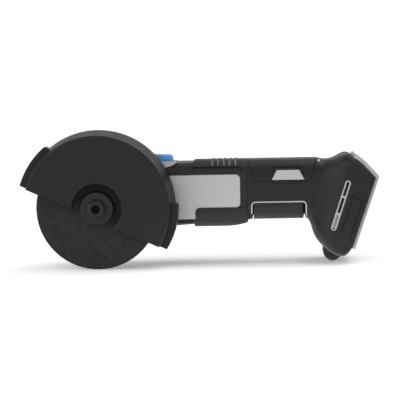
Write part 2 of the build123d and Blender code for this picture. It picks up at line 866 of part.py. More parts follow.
# Bearing cover with the collar, on the near side of the gear housing
cover_plate = head_near - cover_near
with BuildPart() as bearing_cover:
    extrude(head_outline(facing(cover_near), cover_inset), amount=-cover_plate)
    with BuildSketch(facing(cover_near)):
        Circle(panel_spindle_radius - panel_gap)
    extrude(amount=-cover_plate, mode=Mode.INTERSECT)
    with BuildSketch(facing(collar_front)):
        Circle(collar_radius)
    extrude(amount=-collar_length)
    with BuildSketch(facing(collar_front)):
        Circle(spindle_diameter / 2 + gear_room)
    extrude(amount=-(head_near - collar_front), mode=Mode.SUBTRACT)
    with BuildSketch(facing(head_near - main_bearing_width)):
        Circle(main_bearing_diameter / 2 + seat_fit)
    extrude(amount=-main_bearing_width, mode=Mode.SUBTRACT)
    with BuildSketch(facing(retainer_front)):
        Circle(collar_radius)
        Circle(collar_radius - retainer_depth, mode=Mode.SUBTRACT)
    extrude(amount=-retainer_thickness, mode=Mode.SUBTRACT)
    with BuildSketch(facing(cover_near)):
        with Locations(*cover_screw_places):
            Circle(cover_screw_diameter / 2 + running_fit)
    extrude(amount=-cover_plate, mode=Mode.SUBTRACT)
    with BuildSketch(facing(cover_near)):
        with Locations(*cover_screw_places):
            Circle(cover_screw_head / 2 + trim_gap)
    extrude(amount=-cover_plate / 2, mode=Mode.SUBTRACT)
bearing_cover.part.label = "bearing_cover"
export_step(bearing_cover.part, "parts/bearing_cover.step")

# Screws of the bearing cover, with cross recesses
with BuildPart() as cover_screws:
    screw_seat = cover_near + cover_plate / 2
    with BuildSketch(facing(cover_near)):
        with Locations(*cover_screw_places):
            Circle(cover_screw_head / 2)
    extrude(amount=-cover_plate / 2)
    with BuildSketch(facing(screw_seat)):
        with Locations(*cover_screw_places):
            Circle(cover_screw_diameter / 2)
    extrude(amount=-(cover_screw_length - cover_plate / 2))
    with BuildSketch(facing(cover_near)):
        with Locations(*cover_screw_places):
            Rectangle(cross_length, cross_width)
            Rectangle(cross_width, cross_length)
    extrude(amount=-cross_depth, mode=Mode.SUBTRACT)
cover_screws.part.label = "cover_screws"
export_step(cover_screws.part, "parts/cover_screws.step")

# Retaining ring that keeps the guard on the collar, open on one side
with BuildPart() as guard_retainer:
    with BuildSketch(facing(retainer_front)):
        Circle(collar_radius + retainer_height)
        Circle(collar_radius - retainer_depth + seat_fit, mode=Mode.SUBTRACT)
        with Locations((0, -collar_radius)):
            Rectangle(retainer_opening, retainer_opening, mode=Mode.SUBTRACT)
    extrude(amount=-retainer_thickness)
guard_retainer.part.label = "guard_retainer"
export_step(guard_retainer.part, "parts/guard_retainer.step")

# Cradle of the lock button, moulded over the shoulder of the gear head
with BuildPart() as lock_cradle:
    cradle_start = lock_button_start - moving_gap - cradle_wall
    cradle_end = lock_button_end + moving_gap + cradle_wall
    with BuildSketch(facing(lock_button_near - moving_gap - cradle_wall)):
        with BuildLine():
            Polyline(
                (cradle_end, cradle_top - cradle_edge),
                (cradle_end, cradle_top),
                (cradle_start, cradle_top),
                (cradle_start, cradle_low),
                (cradle_end - cradle_bow, cradle_low),
            )
            Bezier(
                (cradle_end - cradle_bow, cradle_low),
                (cradle_end - cradle_bow + cradle_bow_pull, cradle_low),
                (cradle_end, cradle_top - cradle_edge),
            )
        make_face()
    extrude(amount=-(lock_width + 2 * moving_gap + 2 * cradle_wall))
    add(head_form.part, mode=Mode.SUBTRACT)
    add(lock_room.part, mode=Mode.SUBTRACT)
lock_cradle.part.label = "lock_cradle"
export_step(lock_cradle.part, "parts/lock_cradle.step")

# Lock button, sloping down to a rounded tip
with BuildPart() as lock_button:
    with BuildSketch(facing(lock_button_near)) as button_outline:
        with BuildLine():
            Polyline(
                (lock_button_end, lock_button_low),
                (lock_button_end, lock_button_shoulder),
                (lock_button_ramp, lock_button_high),
                (lock_button_start, lock_button_high),
                (lock_button_start, lock_button_low),
                close=True,
            )
        make_face()
        fillet(button_outline.vertices().group_by(Axis.X)[-1].sort_by(Axis.Y)[-1], lock_button_tip_radius)
        fillet(button_outline.vertices().group_by(Axis.X)[0].sort_by(Axis.Y)[-1], lock_button_tip_radius)
    extrude(amount=-lock_width)
    side_edges = lock_button.edges().group_by(Axis.Y)[0] + lock_button.edges().group_by(Axis.Y)[-1]
    fillet(side_edges.filter_by(lambda edge: edge.center().Z > lock_button_low), lock_button_edge)
lock_button.part.label = "lock_button"
export_step(lock_button.part, "parts/lock_button.step")

# Lock pin under the button
with BuildPart() as lock_pin:
    with Locations((0, lock_y, lock_pin_tip)):
        Cylinder(
            lock_pin_diameter / 2,
            lock_button_low - lock_pin_tip,
            align=(Align.CENTER, Align.CENTER, Align.MIN),
        )
lock_pin.part.label = "lock_pin"
export_step(lock_pin.part, "parts/lock_pin.step")

# Coil spring round the lock pin, between its seat and the button
lock_spring_radius = (lock_spring_diameter - lock_spring_wire) / 2
lock_spring_start = lock_spring_seat + lock_spring_wire / 2
lock_spring_length = lock_button_low - lock_spring_seat - lock_spring_wire
with BuildPart() as lock_spring:
    with BuildLine() as coil:
        Helix(
            pitch=lock_spring_length / lock_spring_turns,
            height=lock_spring_length,
            radius=lock_spring_radius,
            center=(0, lock_y, lock_spring_start),
        )
    with BuildSketch(Plane(coil.line @ 0, z_dir=coil.line % 0)):
        Circle(lock_spring_wire / 2)
    sweep(path=coil.line, is_frenet=True)
lock_spring.part.label = "lock_spring"
export_step(lock_spring.part, "parts/lock_spring.step")


def barrel_form(inset, start):
    """Motor barrel from start to just inside the grip, drawn in by inset. Its belly rises to the grip."""
    low = barrel_low + inset
    high = barrel_high - inset
    end = overmould_end + 2 * wall
    belly_end = grip_low + overmould_thickness + inset
    with BuildPart() as form:
        with BuildSketch(section(start)):
            with Locations((0, (low + high) / 2)):
                RectangleRounded(2 * (barrel_half_width - inset), high - low, barrel_corner - inset)
        extrude(amount=end - start)
        with BuildSketch(facing(body_centre)):
            with BuildLine():
                Line((start, low), (bump_end, low))
                Bezier((bump_end, low), ((bump_end + end) / 2, low), (end, belly_end))
                Polyline((end, belly_end), (end, high), (start, high), (start, low))
            make_face()
        extrude(amount=2 * barrel_half_width, both=True, mode=Mode.INTERSECT)
    return form.part


def slanted(top, bottom):
    """Plane across the handle through two points of the side outline, facing the foot."""
    return Plane(
        ((top[0] + bottom[0]) / 2, body_centre, (top[1] + bottom[1]) / 2),
        x_dir=(0, 1, 0),
        z_dir=(top[1] - bottom[1], 0, bottom[0] - top[0]),
    )


neck_plane = slanted((neck_top_x, grip_high), (neck_throat_x, grip_low))


def grip_form(inset, start):
    """Straight part of the grip from start to the slanted start of the neck, drawn in by inset."""
    with BuildPart() as form:
        with BuildSketch(section(start)):
            with Locations((0, (grip_low + grip_high) / 2)):
                RectangleRounded(
                    2 * (grip_half_width - inset), grip_high - grip_low - 2 * inset, grip_corner - inset
                )
        extrude(amount=neck_top_x - start)
        split(bisect_by=neck_plane, keep=Keep.BOTTOM)
    return form.part


# Frame of the battery face: distances run down the face and outwards from it
face_length = math.dist(foot_corner, foot_heel)
face_down = ((foot_heel[0] - foot_corner[0]) / face_length, (foot_heel[1] - foot_corner[1]) / face_length)
face_out = (-face_down[1], face_down[0])


def face_point(down, out):
    """Point of the side outline at a distance down the battery face and outwards from it."""
    return (
        foot_corner[0] + face_down[0] * down + face_out[0] * out,
        foot_corner[1] + face_down[1] * down + face_out[1] * out,
    )


def slanted_section(top, bottom, half_width, corner, inset):
    """Rounded section across the handle between two points of the side outline, drawn in by inset."""
    with BuildSketch(slanted(top, bottom)) as outline:
        RectangleRounded(2 * (half_width - inset), math.dist(top, bottom) - 2 * inset, corner - inset)
    return outline.sketch


def foot_form(inset):
    """Neck and foot, from the slanted end of the grip to the battery face, drawn in by inset."""
    grip_end = grip_form(inset, overmould_end).faces().sort_by(Axis(neck_plane.origin, neck_plane.z_dir))[-1]
    swollen = foot_half_width + foot_swell
    stations = [
        (neck_waist_top, neck_waist_bottom, neck_waist_half_width, neck_waist_corner),
        (foot_front_top, foot_front_low, foot_half_width - foot_front_step, foot_front_corner),
        (foot_shoulder_top, foot_shoulder_low, swollen, foot_shoulder_corner),
        (foot_bend_top, foot_toe, swollen, foot_bend_corner),
        (face_point(0, -inset), face_point(face_length, -inset), swollen, foot_face_corner),
    ]
    with BuildPart() as form:
        loft([grip_end] + [slanted_section(*station, inset) for station in stations])
        # The swollen sides are cut flat
        split(bisect_by=facing(body_centre - foot_half_width + inset), keep=Keep.BOTTOM)
        split(bisect_by=facing(body_centre + foot_half_width - inset), keep=Keep.TOP)
    return form.part


def face_block(top, bottom, floor, height, half_width):
    """Block on the battery face, given by its place down the face, its heights and its half width."""
    with BuildPart() as block:
        with BuildSketch(facing(body_centre)):
            with BuildLine():
                Polyline(
                    face_point(top, floor),
                    face_point(top, height),
                    face_point(bottom, height),
                    face_point(bottom, floor),
                    close=True,
                )
            make_face()
        extrude(amount=half_width, both=True)
    return block.part


pocket_top = -2 * pocket_depth
pocket_end = face_length - seat_stop
terminal_top = pocket_end - terminal_margin - terminal_length
terminal_middle = terminal_top + terminal_length / 2
terminal_foot = face_point(terminal_middle, -pocket_depth)
terminal_plane = Plane(
    (terminal_foot[0], body_centre, terminal_foot[1]),
    x_dir=(0, 1, 0),
    z_dir=(face_out[0], 0, face_out[1]),
)
pocket = face_block(pocket_top, pocket_end, -pocket_depth, pocket_depth, pocket_half_width)
pocket_shell = face_block(
    pocket_top, pocket_end + wall, -pocket_depth - wall, pocket_depth, pocket_half_width + wall
)

handle_outer = (
    barrel_form(0, head_rear)
    + grip_form(0, overmould_end)
    + foot_form(0)
)
handle_inner = (
    barrel_form(wall, head_rear + bulkhead)
    + grip_form(wall, overmould_end + wall)
    + foot_form(wall)
    - pocket_shell
)


def grip_skin(outline, thickness):
    """Skin of the grip inside a side outline, on both sides and across the top or bottom."""
    with BuildPart() as skin:
        add(grip_form(0, overmould_end))
        add(grip_form(thickness, overmould_end), mode=Mode.SUBTRACT)
        extrude(outline, amount=2 * grip_half_width, both=True, mode=Mode.INTERSECT)
    return skin.part


def cover_outline(gap):
    """Outline of the top cover, grown by gap."""
    with BuildSketch(facing(body_centre)) as outline:
        with BuildLine():
            Polyline(
                (cover_start - gap, grip_high + wall),
                (cover_start + cover_slant - gap, cover_low - gap),
                (cover_end - cover_slant + gap, cover_low - gap),
                (cover_end + gap, grip_high + wall),
                close=True,
            )
        make_face()
    return outline.sketch


def lock_off_outline(plane, gap):
    """Trapezoid of the lock-off button, grown by gap."""
    with BuildSketch(plane) as outline:
        with BuildLine():
            Polyline(
                (lock_off_start - gap, lock_off_low - gap),
                (lock_off_end + gap, lock_off_low - gap),
                (lock_off_end - lock_off_slant + gap, lock_off_high + gap),
                (lock_off_start + lock_off_slant - gap, lock_off_high + gap),
                close=True,
            )
        make_face()
    return outline.sketch


def window_outline(gap):
    """Window of the trigger, grown by gap and open at the bottom."""
    with BuildSketch(facing(body_centre)) as outline:
        with BuildLine():
            Polyline(
                (window_start - gap, grip_low - wall),
                (window_start - gap, window_high + gap),
                (window_end + gap, window_high + gap),
                (window_end + gap, grip_low - wall),
                close=True,
            )
        make_face()
        fillet(outline.vertices().group_by(Axis.Y)[-1], window_corner + gap)
    return outline.sketch


slot_length = math.dist(slot_bottom, slot_top)
slot_middle = ((slot_bottom[0] + slot_top[0]) / 2, (slot_bottom[1] + slot_top[1]) / 2)
slot_angle = math.degrees(math.atan2(slot_top[1] - slot_bottom[1], slot_top[0] - slot_bottom[0]))


def slot_outline(plane, grow):
    """Rounded slot on the side of the foot, grown on every side."""
    with BuildSketch(plane) as outline:
        with Locations(Location((*slot_middle, 0), slot_angle)):
            SlotCenterToCenter(slot_length, slot_width + 2 * grow)
    return outline.sketch


groove_points = [face_point(down, out) for down, out in groove_path]
lock_off_rim_skin = grip_skin(
    lock_off_outline(facing(body_centre), lock_off_gap + lock_off_rim), lock_off_rim_depth
)

# Shell of the handle, whole: walls, bulkheads, bosses, windows and recesses
with BuildPart() as handle_shell:
    add(handle_outer)
    add(handle_inner, mode=Mode.SUBTRACT)
    # Bosses of the screws, and pads that hold the switch
    with BuildSketch(facing(body_centre)):
        with Locations(*housing_screw_places):
            Circle(boss_diameter / 2)
    extrude(amount=foot_half_width, both=True)
    with BuildSketch(facing(body_centre)):
        with Locations(((switch_start + switch_end) / 2, (switch_low + switch_high) / 2 + wall)):
            Rectangle(switch_end - switch_start - 2 * wall, switch_high - switch_low - 3 * wall)
    extrude(amount=grip_half_width - wall / 2, both=True)
    # Rib that carries the rear end of the motor
    with BuildSketch(section(rear_bearing_start)):
        with Locations((0, -wall)):
            Rectangle(2 * barrel_half_width - wall, stator_diameter)
    extrude(amount=rear_bearing_width)
    add(handle_outer, mode=Mode.INTERSECT)
    # Room for the switch and the motor
    with BuildSketch(section(switch_start)):
        with Locations((0, (switch_low + switch_high) / 2)):
            Rectangle(2 * switch_half_width + 2 * trim_gap, switch_high - switch_low + 2 * trim_gap)
    extrude(amount=switch_end - switch_start, mode=Mode.SUBTRACT)
    with BuildSketch(section(head_rear)):
        Circle(stator_diameter / 2 + board_gap)
    extrude(amount=end_cap_end - head_rear, mode=Mode.SUBTRACT)
    # Battery pocket, open at the back and at the top
    add(pocket, mode=Mode.SUBTRACT)
    with BuildSketch(terminal_plane):
        with Locations(*[(place, 0) for place in lead_places]):
            Circle(lead_diameter / 2 + running_fit)
    extrude(amount=-2 * wall, mode=Mode.SUBTRACT)
    # Trigger window, lock-off window, and recesses of the trim
    extrude(window_outline(0), amount=2 * grip_half_width, both=True, mode=Mode.SUBTRACT)
    extrude(
        lock_off_outline(facing(body_centre), lock_off_gap),
        amount=2 * grip_half_width,
        both=True,
        mode=Mode.SUBTRACT,
    )
    add(grip_skin(cover_outline(cover_seam), cover_thickness), mode=Mode.SUBTRACT)
    add(lock_off_rim_skin, mode=Mode.SUBTRACT)
    add(grip_skin(window_outline(trigger_trim_width + trim_gap), trigger_trim_depth), mode=Mode.SUBTRACT)
    for side in (-1, 1):
        slot_plane = facing(body_centre + side * foot_half_width)
        extrude(slot_outline(slot_plane, trim_gap), amount=slot_depth, both=True, mode=Mode.SUBTRACT)
    # Groove round a pad beside the battery face, on each side of the foot
    for side in (-1, 1):
        with BuildSketch(facing(body_centre + side * foot_half_width)):
            for first, last in zip(groove_points, groove_points[1:]):
                middle = ((first[0] + last[0]) / 2, (first[1] + last[1]) / 2)
                angle = math.degrees(math.atan2(last[1] - first[1], last[0] - first[0]))
                with Locations(Location((*middle, 0), angle)):
                    SlotCenterToCenter(math.dist(first, last), groove_width)
        extrude(amount=groove_depth, both=True, mode=Mode.SUBTRACT)
    # Screw holes: clearance and head recess from the far side, tapped on the near side
    with BuildSketch(facing(body_centre + housing_screw_seat - housing_screw_length)):
        with Locations(*housing_screw_places):
            Circle(housing_screw_diameter / 2 + running_fit)
    extrude(amount=-housing_screw_length, mode=Mode.SUBTRACT)
    with BuildSketch(facing(body_centre + housing_screw_seat)):
        with Locations(*housing_screw_places):
            Circle(housing_screw_head / 2 + trim_gap)
    extrude(amount=-foot_half_width, mode=Mode.SUBTRACT)
    with BuildSketch(section(head_rear)):
        with Locations(*gear_screw_places):
            Circle(gear_screw_diameter / 2 + running_fit)
    extrude(amount=bulkhead, mode=Mode.SUBTRACT)

# Handle halves, split on the mid-plane
with BuildPart() as housing_near:
    add(handle_shell.part)
    split(bisect_by=facing(body_centre), keep=Keep.TOP)
housing_near.part.label = "housing_near"
export_step(housing_near.part, "parts/housing_near.step")

with BuildPart() as housing_far:
    add(handle_shell.part)
    split(bisect_by=facing(body_centre), keep=Keep.BOTTOM)
housing_far.part.label = "housing_far"
export_step(housing_far.part, "parts/housing_far.step")

# Ribs for the thumb, across the top of the barrel and down to the sunk band
rib_low = panel_high + band_width
with BuildPart() as thumb_ribs:
    with BuildSketch(facing(body_centre)):
        with Locations(*[(rib_first + index * rib_pitch, rib_low) for index in range(rib_count)]):
            Rectangle(rib_width, barrel_high, align=(Align.CENTER, Align.MIN))
    extrude(amount=2 * barrel_half_width, both=True)
    add(barrel_form(-overmould_thickness - rib_height, head_rear), mode=Mode.INTERSECT)

# Band of the overmould that is sunk round the upper edge and the end of each panel
with BuildPart() as sunk_band:
    add(barrel_form(-overmould_thickness, head_rear))
    add(barrel_form(band_depth - overmould_thickness, head_rear), mode=Mode.SUBTRACT)
    extrude(panel_outline(facing(0), band_width), amount=-2 * body_centre, mode=Mode.INTERSECT)
    with BuildSketch(facing(0)):
        with Locations((head_rear, panel_low)):
            Rectangle(overmould_end, barrel_high, align=(Align.MIN, Align.MIN))
    extrude(amount=-2 * body_centre, mode=Mode.INTERSECT)

# Rubber overmould: a C round each panel, with ribs for the thumb across the top
with BuildPart() as overmould:
    add(barrel_form(-overmould_thickness, head_rear))
    with BuildSketch(section(overmould_end)):
        Rectangle(4 * grip_half_width, 4 * grip_half_width)
    extrude(amount=2 * grip_half_width, mode=Mode.SUBTRACT)
    add(thumb_ribs.part)
    add(sunk_band.part, mode=Mode.SUBTRACT)
    add(handle_outer, mode=Mode.SUBTRACT)
    extrude(panel_outline(facing(0), panel_gap), amount=-2 * body_centre, mode=Mode.SUBTRACT)

with BuildPart() as overmould_near:
    add(overmould.part)
    split(bisect_by=facing(body_centre), keep=Keep.TOP)
overmould_near.part.label = "overmould_near"
export_step(overmould_near.part, "parts/overmould_near.step")

with BuildPart() as overmould_far:
    add(overmould.part)
    split(bisect_by=facing(body_centre), keep=Keep.BOTTOM)
overmould_far.part.label = "overmould_far"
export_step(overmould_far.part, "parts/overmould_far.step")

# Top cover, a saddle over the grip with a window for the lock-off button on each side
with BuildPart() as top_cover:
    add(grip_skin(cover_outline(0), cover_thickness - trim_gap))
    extrude(
        lock_off_outline(facing(body_centre), lock_off_gap),
        amount=2 * grip_half_width,
        both=True,
        mode=Mode.SUBTRACT,
    )
    add(lock_off_rim_skin, mode=Mode.SUBTRACT)
top_cover.part.label = "top_cover"
export_step(top_cover.part, "parts/top_cover.step")

# Trim round the trigger window
with BuildPart() as trigger_trim:
    add(grip_skin(window_outline(trigger_trim_width), trigger_trim_depth - trim_gap))
    extrude(window_outline(0), amount=2 * grip_half_width, both=True, mode=Mode.SUBTRACT)
trigger_trim.part.label = "trigger_trim"
export_step(trigger_trim.part, "parts/trigger_trim.step")

# Trigger: a deep tray that swings on a pin at its front
trigger_half_width = grip_half_width - wall - trigger_side_gap
trigger_start = window_start + trigger_gap
trigger_end = window_end - trigger_rear_gap
trigger_floor = grip_low + trigger_wall
with BuildPart() as trigger:
    with BuildSketch(section(trigger_start)):
        with Locations((0, grip_low)):
            Rectangle(2 * trigger_half_width, trigger_top - grip_low, align=(Align.CENTER, Align.MIN))
    extrude(amount=trigger_end - trigger_start)
    lower_edges = trigger.edges().filter_by(Axis.X).group_by(Axis.Z)[0]
    fillet(lower_edges, trigger_corner)
    rear_edge = trigger.faces().sort_by(Axis.X)[-1].edges().sort_by(Axis.Z)[0]
    fillet(rear_edge, window_corner / 2)
    with BuildSketch(section(trigger_start + trigger_wall)) as tray:
        with Locations((0, trigger_floor)):
            Rectangle(
                2 * (trigger_half_width - trigger_wall),
                trigger_top - trigger_floor,
                align=(Align.CENTER, Align.MIN),
            )
        fillet(tray.vertices().group_by(Axis.Y)[0], trigger_corner - trigger_wall)
    extrude(amount=trigger_end - trigger_start - 2 * trigger_wall, mode=Mode.SUBTRACT)
    # Tabs that hook behind both ends of the window
    tab_low = grip_low + wall + trigger_tab_gap
    front_tab = trigger_tab + trigger_gap + trigger_wall
    rear_tab = trigger_tab + trigger_rear_gap + trigger_wall
    with BuildSketch(facing(body_centre)):
        with Locations((window_start - trigger_tab, tab_low)):
            Rectangle(front_tab, trigger_tab_height, align=(Align.MIN, Align.MIN))
        with Locations((window_end + trigger_tab, tab_low)):
            Rectangle(rear_tab, trigger_tab_height, align=(Align.MAX, Align.MIN))
    extrude(amount=trigger_tab_half_width, both=True)
    for side in (-1, 1):
        ear_start = body_centre + side * trigger_half_width
        with BuildSketch(facing(ear_start)):
            with Locations(trigger_pin_place):
                Circle(trigger_boss_diameter / 2)
            with Locations((trigger_pin_place[0], trigger_top)):
                Rectangle(trigger_boss_diameter, 2 * (trigger_pin_place[1] - trigger_top))
        extrude(amount=side * trigger_wall)
    with BuildSketch(facing(body_centre)):
        with Locations(trigger_pin_place):
            Circle(trigger_pin_diameter / 2 + running_fit)
    extrude(amount=grip_half_width, both=True, mode=Mode.SUBTRACT)
trigger.part.label = "trigger"
export_step(trigger.part, "parts/trigger.step")

# Pin of the trigger, between the walls of the handle
with BuildPart() as trigger_pin:
    with BuildSketch(facing(body_centre)):
        with Locations(trigger_pin_place):
            Circle(trigger_pin_diameter / 2)
    extrude(amount=grip_half_width - wall - trim_gap, both=True)
trigger_pin.part.label = "trigger_pin"
export_step(trigger_pin.part, "parts/trigger_pin.step")

# Lock-off button: a flanged cap in each side, joined by a bar
with BuildPart() as lock_off_button:
    cap_end = grip_half_width + lock_off_proud
    for side in (-1, 1):
        cap_start = body_centre + side * cap_end
        extrude(lock_off_outline(facing(cap_start), 0), amount=side * lock_off_cap)
    chamfer(lock_off_button.faces().filter_by(Axis.Y).group_by(Axis.Y)[0].edges(), lock_off_proud / 2)
    chamfer(lock_off_button.faces().filter_by(Axis.Y).group_by(Axis.Y)[-1].edges(), lock_off_proud / 2)
    # Flange on the inner end of each cap, wider than its window
    for side in (-1, 1):
        flange_start = facing(body_centre + side * (cap_end - lock_off_cap))
        extrude(lock_off_outline(flange_start, lock_off_flange_width), amount=-side * lock_off_flange)
    with BuildSketch(facing(body_centre)):
        with Locations(((lock_off_start + lock_off_end) / 2, (lock_off_low + lock_off_high) / 2)):
            Rectangle(lock_off_bar, lock_off_bar)
    extrude(amount=cap_end - lock_off_cap, both=True)
lock_off_button.part.label = "lock_off_button"
export_step(lock_off_button.part, "parts/lock_off_button.step")

# Switch in the grip, over the trigger
with BuildPart() as switch_body:
    with BuildSketch(section(switch_start)):
        with Locations((0, (switch_low + switch_high) / 2)):
            Rectangle(2 * switch_half_width, switch_high - switch_low)
    extrude(amount=switch_end - switch_start)
    chamfer(switch_body.edges().filter_by(Axis.X), switch_edge)
switch_body.part.label = "switch_body"
export_step(switch_body.part, "parts/switch_body.step")

# Controller board over the motor, with a row of power chips
with BuildPart() as controller_board:
    with BuildSketch(Plane.XY.offset(board_height)):
        with Locations(((board_start + board_end) / 2, body_centre)):
            Rectangle(board_end - board_start, 2 * (barrel_half_width - wall - board_gap))
    extrude(amount=board_thickness)
    with BuildSketch(Plane.XY.offset(board_height + board_thickness)):
        with Locations(((board_start + board_end) / 2, body_centre)):
            with GridLocations(chip_pitch, chip_pitch, *chip_rows):
                Rectangle(chip_size, chip_size)
    extrude(amount=chip_height)
controller_board.part.label = "controller_board"
export_step(controller_board.part, "parts/controller_board.step")

# Battery seat: a frame along the rear of the foot, whose lips hold the rails of a battery
with BuildPart() as battery_seat:
    bend_length = math.dist(foot_shoulder_top, foot_bend_top)
    seat_share = seat_top_margin / bend_length
    seat_start = (
        foot_shoulder_top[0] + seat_share * (foot_bend_top[0] - foot_shoulder_top[0]),
        foot_shoulder_top[1] + seat_share * (foot_bend_top[1] - foot_shoulder_top[1]),
    )
    with BuildSketch(facing(body_centre)):
        with BuildLine():
            seat_line = Polyline(seat_start, foot_bend_top, foot_corner, foot_heel)
            offset(seat_line, amount=seat_thickness, kind=Kind.INTERSECTION, side=Side.LEFT)
        make_face()
        with BuildLine():
            offset(seat_line, amount=seat_sink, kind=Kind.INTERSECTION, side=Side.RIGHT)
        make_face()
    extrude(amount=foot_half_width - seat_margin, both=True)
    add(handle_outer, mode=Mode.SUBTRACT)
    add(
        face_block(pocket_top, pocket_end, -pocket_depth, pocket_depth, pocket_half_width - rail_lip),
        mode=Mode.SUBTRACT,
    )
battery_seat.part.label = "battery_seat"
export_step(battery_seat.part, "parts/battery_seat.step")

# Terminal block on the floor of the battery pocket, and its blades
with BuildPart() as terminal_block:
    add(
        face_block(
            terminal_top,
            terminal_top + terminal_length,
            -pocket_depth,
            terminal_height - pocket_depth,
            terminal_half_width,
        )
    )
terminal_block.part.label = "terminal_block"
export_step(terminal_block.part, "parts/terminal_block.step")

with BuildPart() as battery_contacts:
    blade_top = terminal_top + (terminal_length - blade_length) / 2
    blade = face_block(
        blade_top,
        blade_top + blade_length,
        terminal_height - pocket_depth,
        terminal_height - pocket_depth + blade_height,
        blade_thickness / 2,
    )
    for place in blade_places:
        add(Pos(0, place, 0) * blade)
battery_contacts.part.label = "battery_contacts"
export_step(battery_contacts.part, "parts/battery_contacts.step")


def slot_trim(start):
    """Light frame in the slot on one side of the foot, with two openings and a closed lower end."""
    with BuildPart() as trim:
        extrude(slot_outline(facing(start), 0), amount=-slot_depth)
        extrude(slot_outline(facing(start), -slot_line), amount=-slot_depth, mode=Mode.SUBTRACT)
        with BuildSketch(facing(start)):
            with Locations(Location((*slot_middle, 0), slot_angle)):
                with Locations((slot_bar_place, 0), (slot_fill - slot_length / 2, 0)):
                    Rectangle(slot_bar, slot_width - slot_line)
        extrude(amount=-slot_depth)
        with BuildSketch(facing(start + slot_recess)):
            with Locations(Location((*slot_middle, 0), slot_angle)):
                with Locations((-slot_length / 2, 0)):
                    Rectangle(slot_fill, slot_width - slot_line, align=(Align.MIN, Align.CENTER))
        extrude(amount=2 * slot_recess - slot_depth)
    return trim.part


slot_trim_near = slot_trim(body_centre - foot_half_width)
slot_trim_near.label = "slot_trim_near"
export_step(slot_trim_near, "parts/slot_trim_near.step")

slot_trim_far = slot_trim(body_centre + foot_half_width - slot_depth)
slot_trim_far.label = "slot_trim_far"
export_step(slot_trim_far, "parts/slot_trim_far.step")

# Lug under the foot
with BuildPart() as foot_lug:
    with BuildSketch(facing(body_centre)):
        with Locations(lug_centre):
            Circle(lug_radius)
    extrude(amount=lug_width / 2, both=True)
    fillet(foot_lug.edges(), lug_edge_radius)
    add(handle_outer, mode=Mode.SUBTRACT)
foot_lug.part.label = "foot_lug"
export_step(foot_lug.part, "parts/foot_lug.step")

# Screws that join the handle halves, with their heads in the far half
with BuildPart() as housing_screws:
    with BuildSketch(facing(body_centre + housing_screw_seat - housing_screw_length)):
        with Locations(*housing_screw_places):
            Circle(housing_screw_diameter / 2)
    extrude(amount=-housing_screw_length)
    with BuildSketch(facing(body_centre + housing_screw_seat)):
        with Locations(*housing_screw_places):
            Circle(housing_screw_head / 2)
    extrude(amount=-housing_screw_head_depth)
housing_screws.part.label = "housing_screws"
export_step(housing_screws.part, "parts/housing_screws.step")

# Screws that join the handle to the gear housing
with BuildPart() as gear_screws:
    with BuildSketch(section(head_rear + bulkhead)):
        with Locations(*gear_screw_places):
            Circle(gear_screw_diameter / 2)
    extrude(amount=-gear_screw_length)
    with BuildSketch(section(head_rear + bulkhead)):
        with Locations(*gear_screw_places):
            Circle(gear_screw_head / 2)
    extrude(amount=gear_screw_head_height)
gear_screws.part.label = "gear_screws"
export_step(gear_screws.part, "parts/gear_screws.step")

# Power leads, from the rear of the switch through the floor of the battery pocket
with BuildPart() as power_leads:
    lead_points = [
        (switch_end, lead_height),
        *lead_turns,
        face_point(terminal_middle, -pocket_depth - lead_straight),
        terminal_foot,
    ]
    for place in lead_places:
        with BuildLine(facing(body_centre + place)) as lead_line:
            FilletPolyline(*lead_points, radius=lead_bend)
        with BuildSketch(Plane((switch_end, body_centre + place, lead_height), z_dir=(1, 0, 0))):
            Circle(lead_diameter / 2)
        sweep(path=lead_line.line)
power_leads.part.label = "power_leads"
export_step(power_leads.part, "parts/power_leads.step")
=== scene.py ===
import json
import math

import bmesh
import bpy
from mathutils import Matrix, Vector, noise


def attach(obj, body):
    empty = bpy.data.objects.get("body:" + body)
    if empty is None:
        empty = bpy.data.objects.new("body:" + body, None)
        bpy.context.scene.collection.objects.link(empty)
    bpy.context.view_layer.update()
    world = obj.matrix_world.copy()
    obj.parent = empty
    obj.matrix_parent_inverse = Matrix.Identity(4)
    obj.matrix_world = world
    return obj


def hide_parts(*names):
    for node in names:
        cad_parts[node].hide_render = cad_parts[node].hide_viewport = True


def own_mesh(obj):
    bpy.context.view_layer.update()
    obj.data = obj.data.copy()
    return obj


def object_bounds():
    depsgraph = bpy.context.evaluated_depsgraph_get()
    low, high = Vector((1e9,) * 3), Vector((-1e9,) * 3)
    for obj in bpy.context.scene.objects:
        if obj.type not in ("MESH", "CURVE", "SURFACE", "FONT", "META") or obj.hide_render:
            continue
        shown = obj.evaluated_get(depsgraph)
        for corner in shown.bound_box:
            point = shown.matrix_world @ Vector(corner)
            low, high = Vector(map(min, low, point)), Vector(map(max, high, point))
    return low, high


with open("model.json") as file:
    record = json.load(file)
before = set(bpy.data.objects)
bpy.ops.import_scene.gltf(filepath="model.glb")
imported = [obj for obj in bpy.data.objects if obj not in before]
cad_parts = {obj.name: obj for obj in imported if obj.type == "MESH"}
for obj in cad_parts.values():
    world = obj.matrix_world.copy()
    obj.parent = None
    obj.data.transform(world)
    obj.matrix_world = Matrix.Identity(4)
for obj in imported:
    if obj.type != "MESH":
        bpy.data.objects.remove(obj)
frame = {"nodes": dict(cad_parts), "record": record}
cad_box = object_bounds()
nodes = frame["nodes"]
MM = 0.001

# Camera of the photograph: angles in degrees, distance in metres, picture of 400 by 400 pixels
PICTURE = 400
FOCAL_PIXELS = 1626.0
AZIMUTH = 2.5
ELEVATION = 4.0
ROLL = -1.1
DISTANCE = 1.0
ORIGIN_PIXEL = (97.6, 208.0)
SENSOR_WIDTH = 36.0
CLIP_START = 0.01


# Materials

# Most values of a noise texture lie in this band
NOISE_BAND = (0.3, 0.7)
# Cosines of the turn of the rounded normal at which an edge counts as fully rubbed and as not rubbed
EDGE_TURN = (0.90, 0.995)
BEVEL_SAMPLES = 4


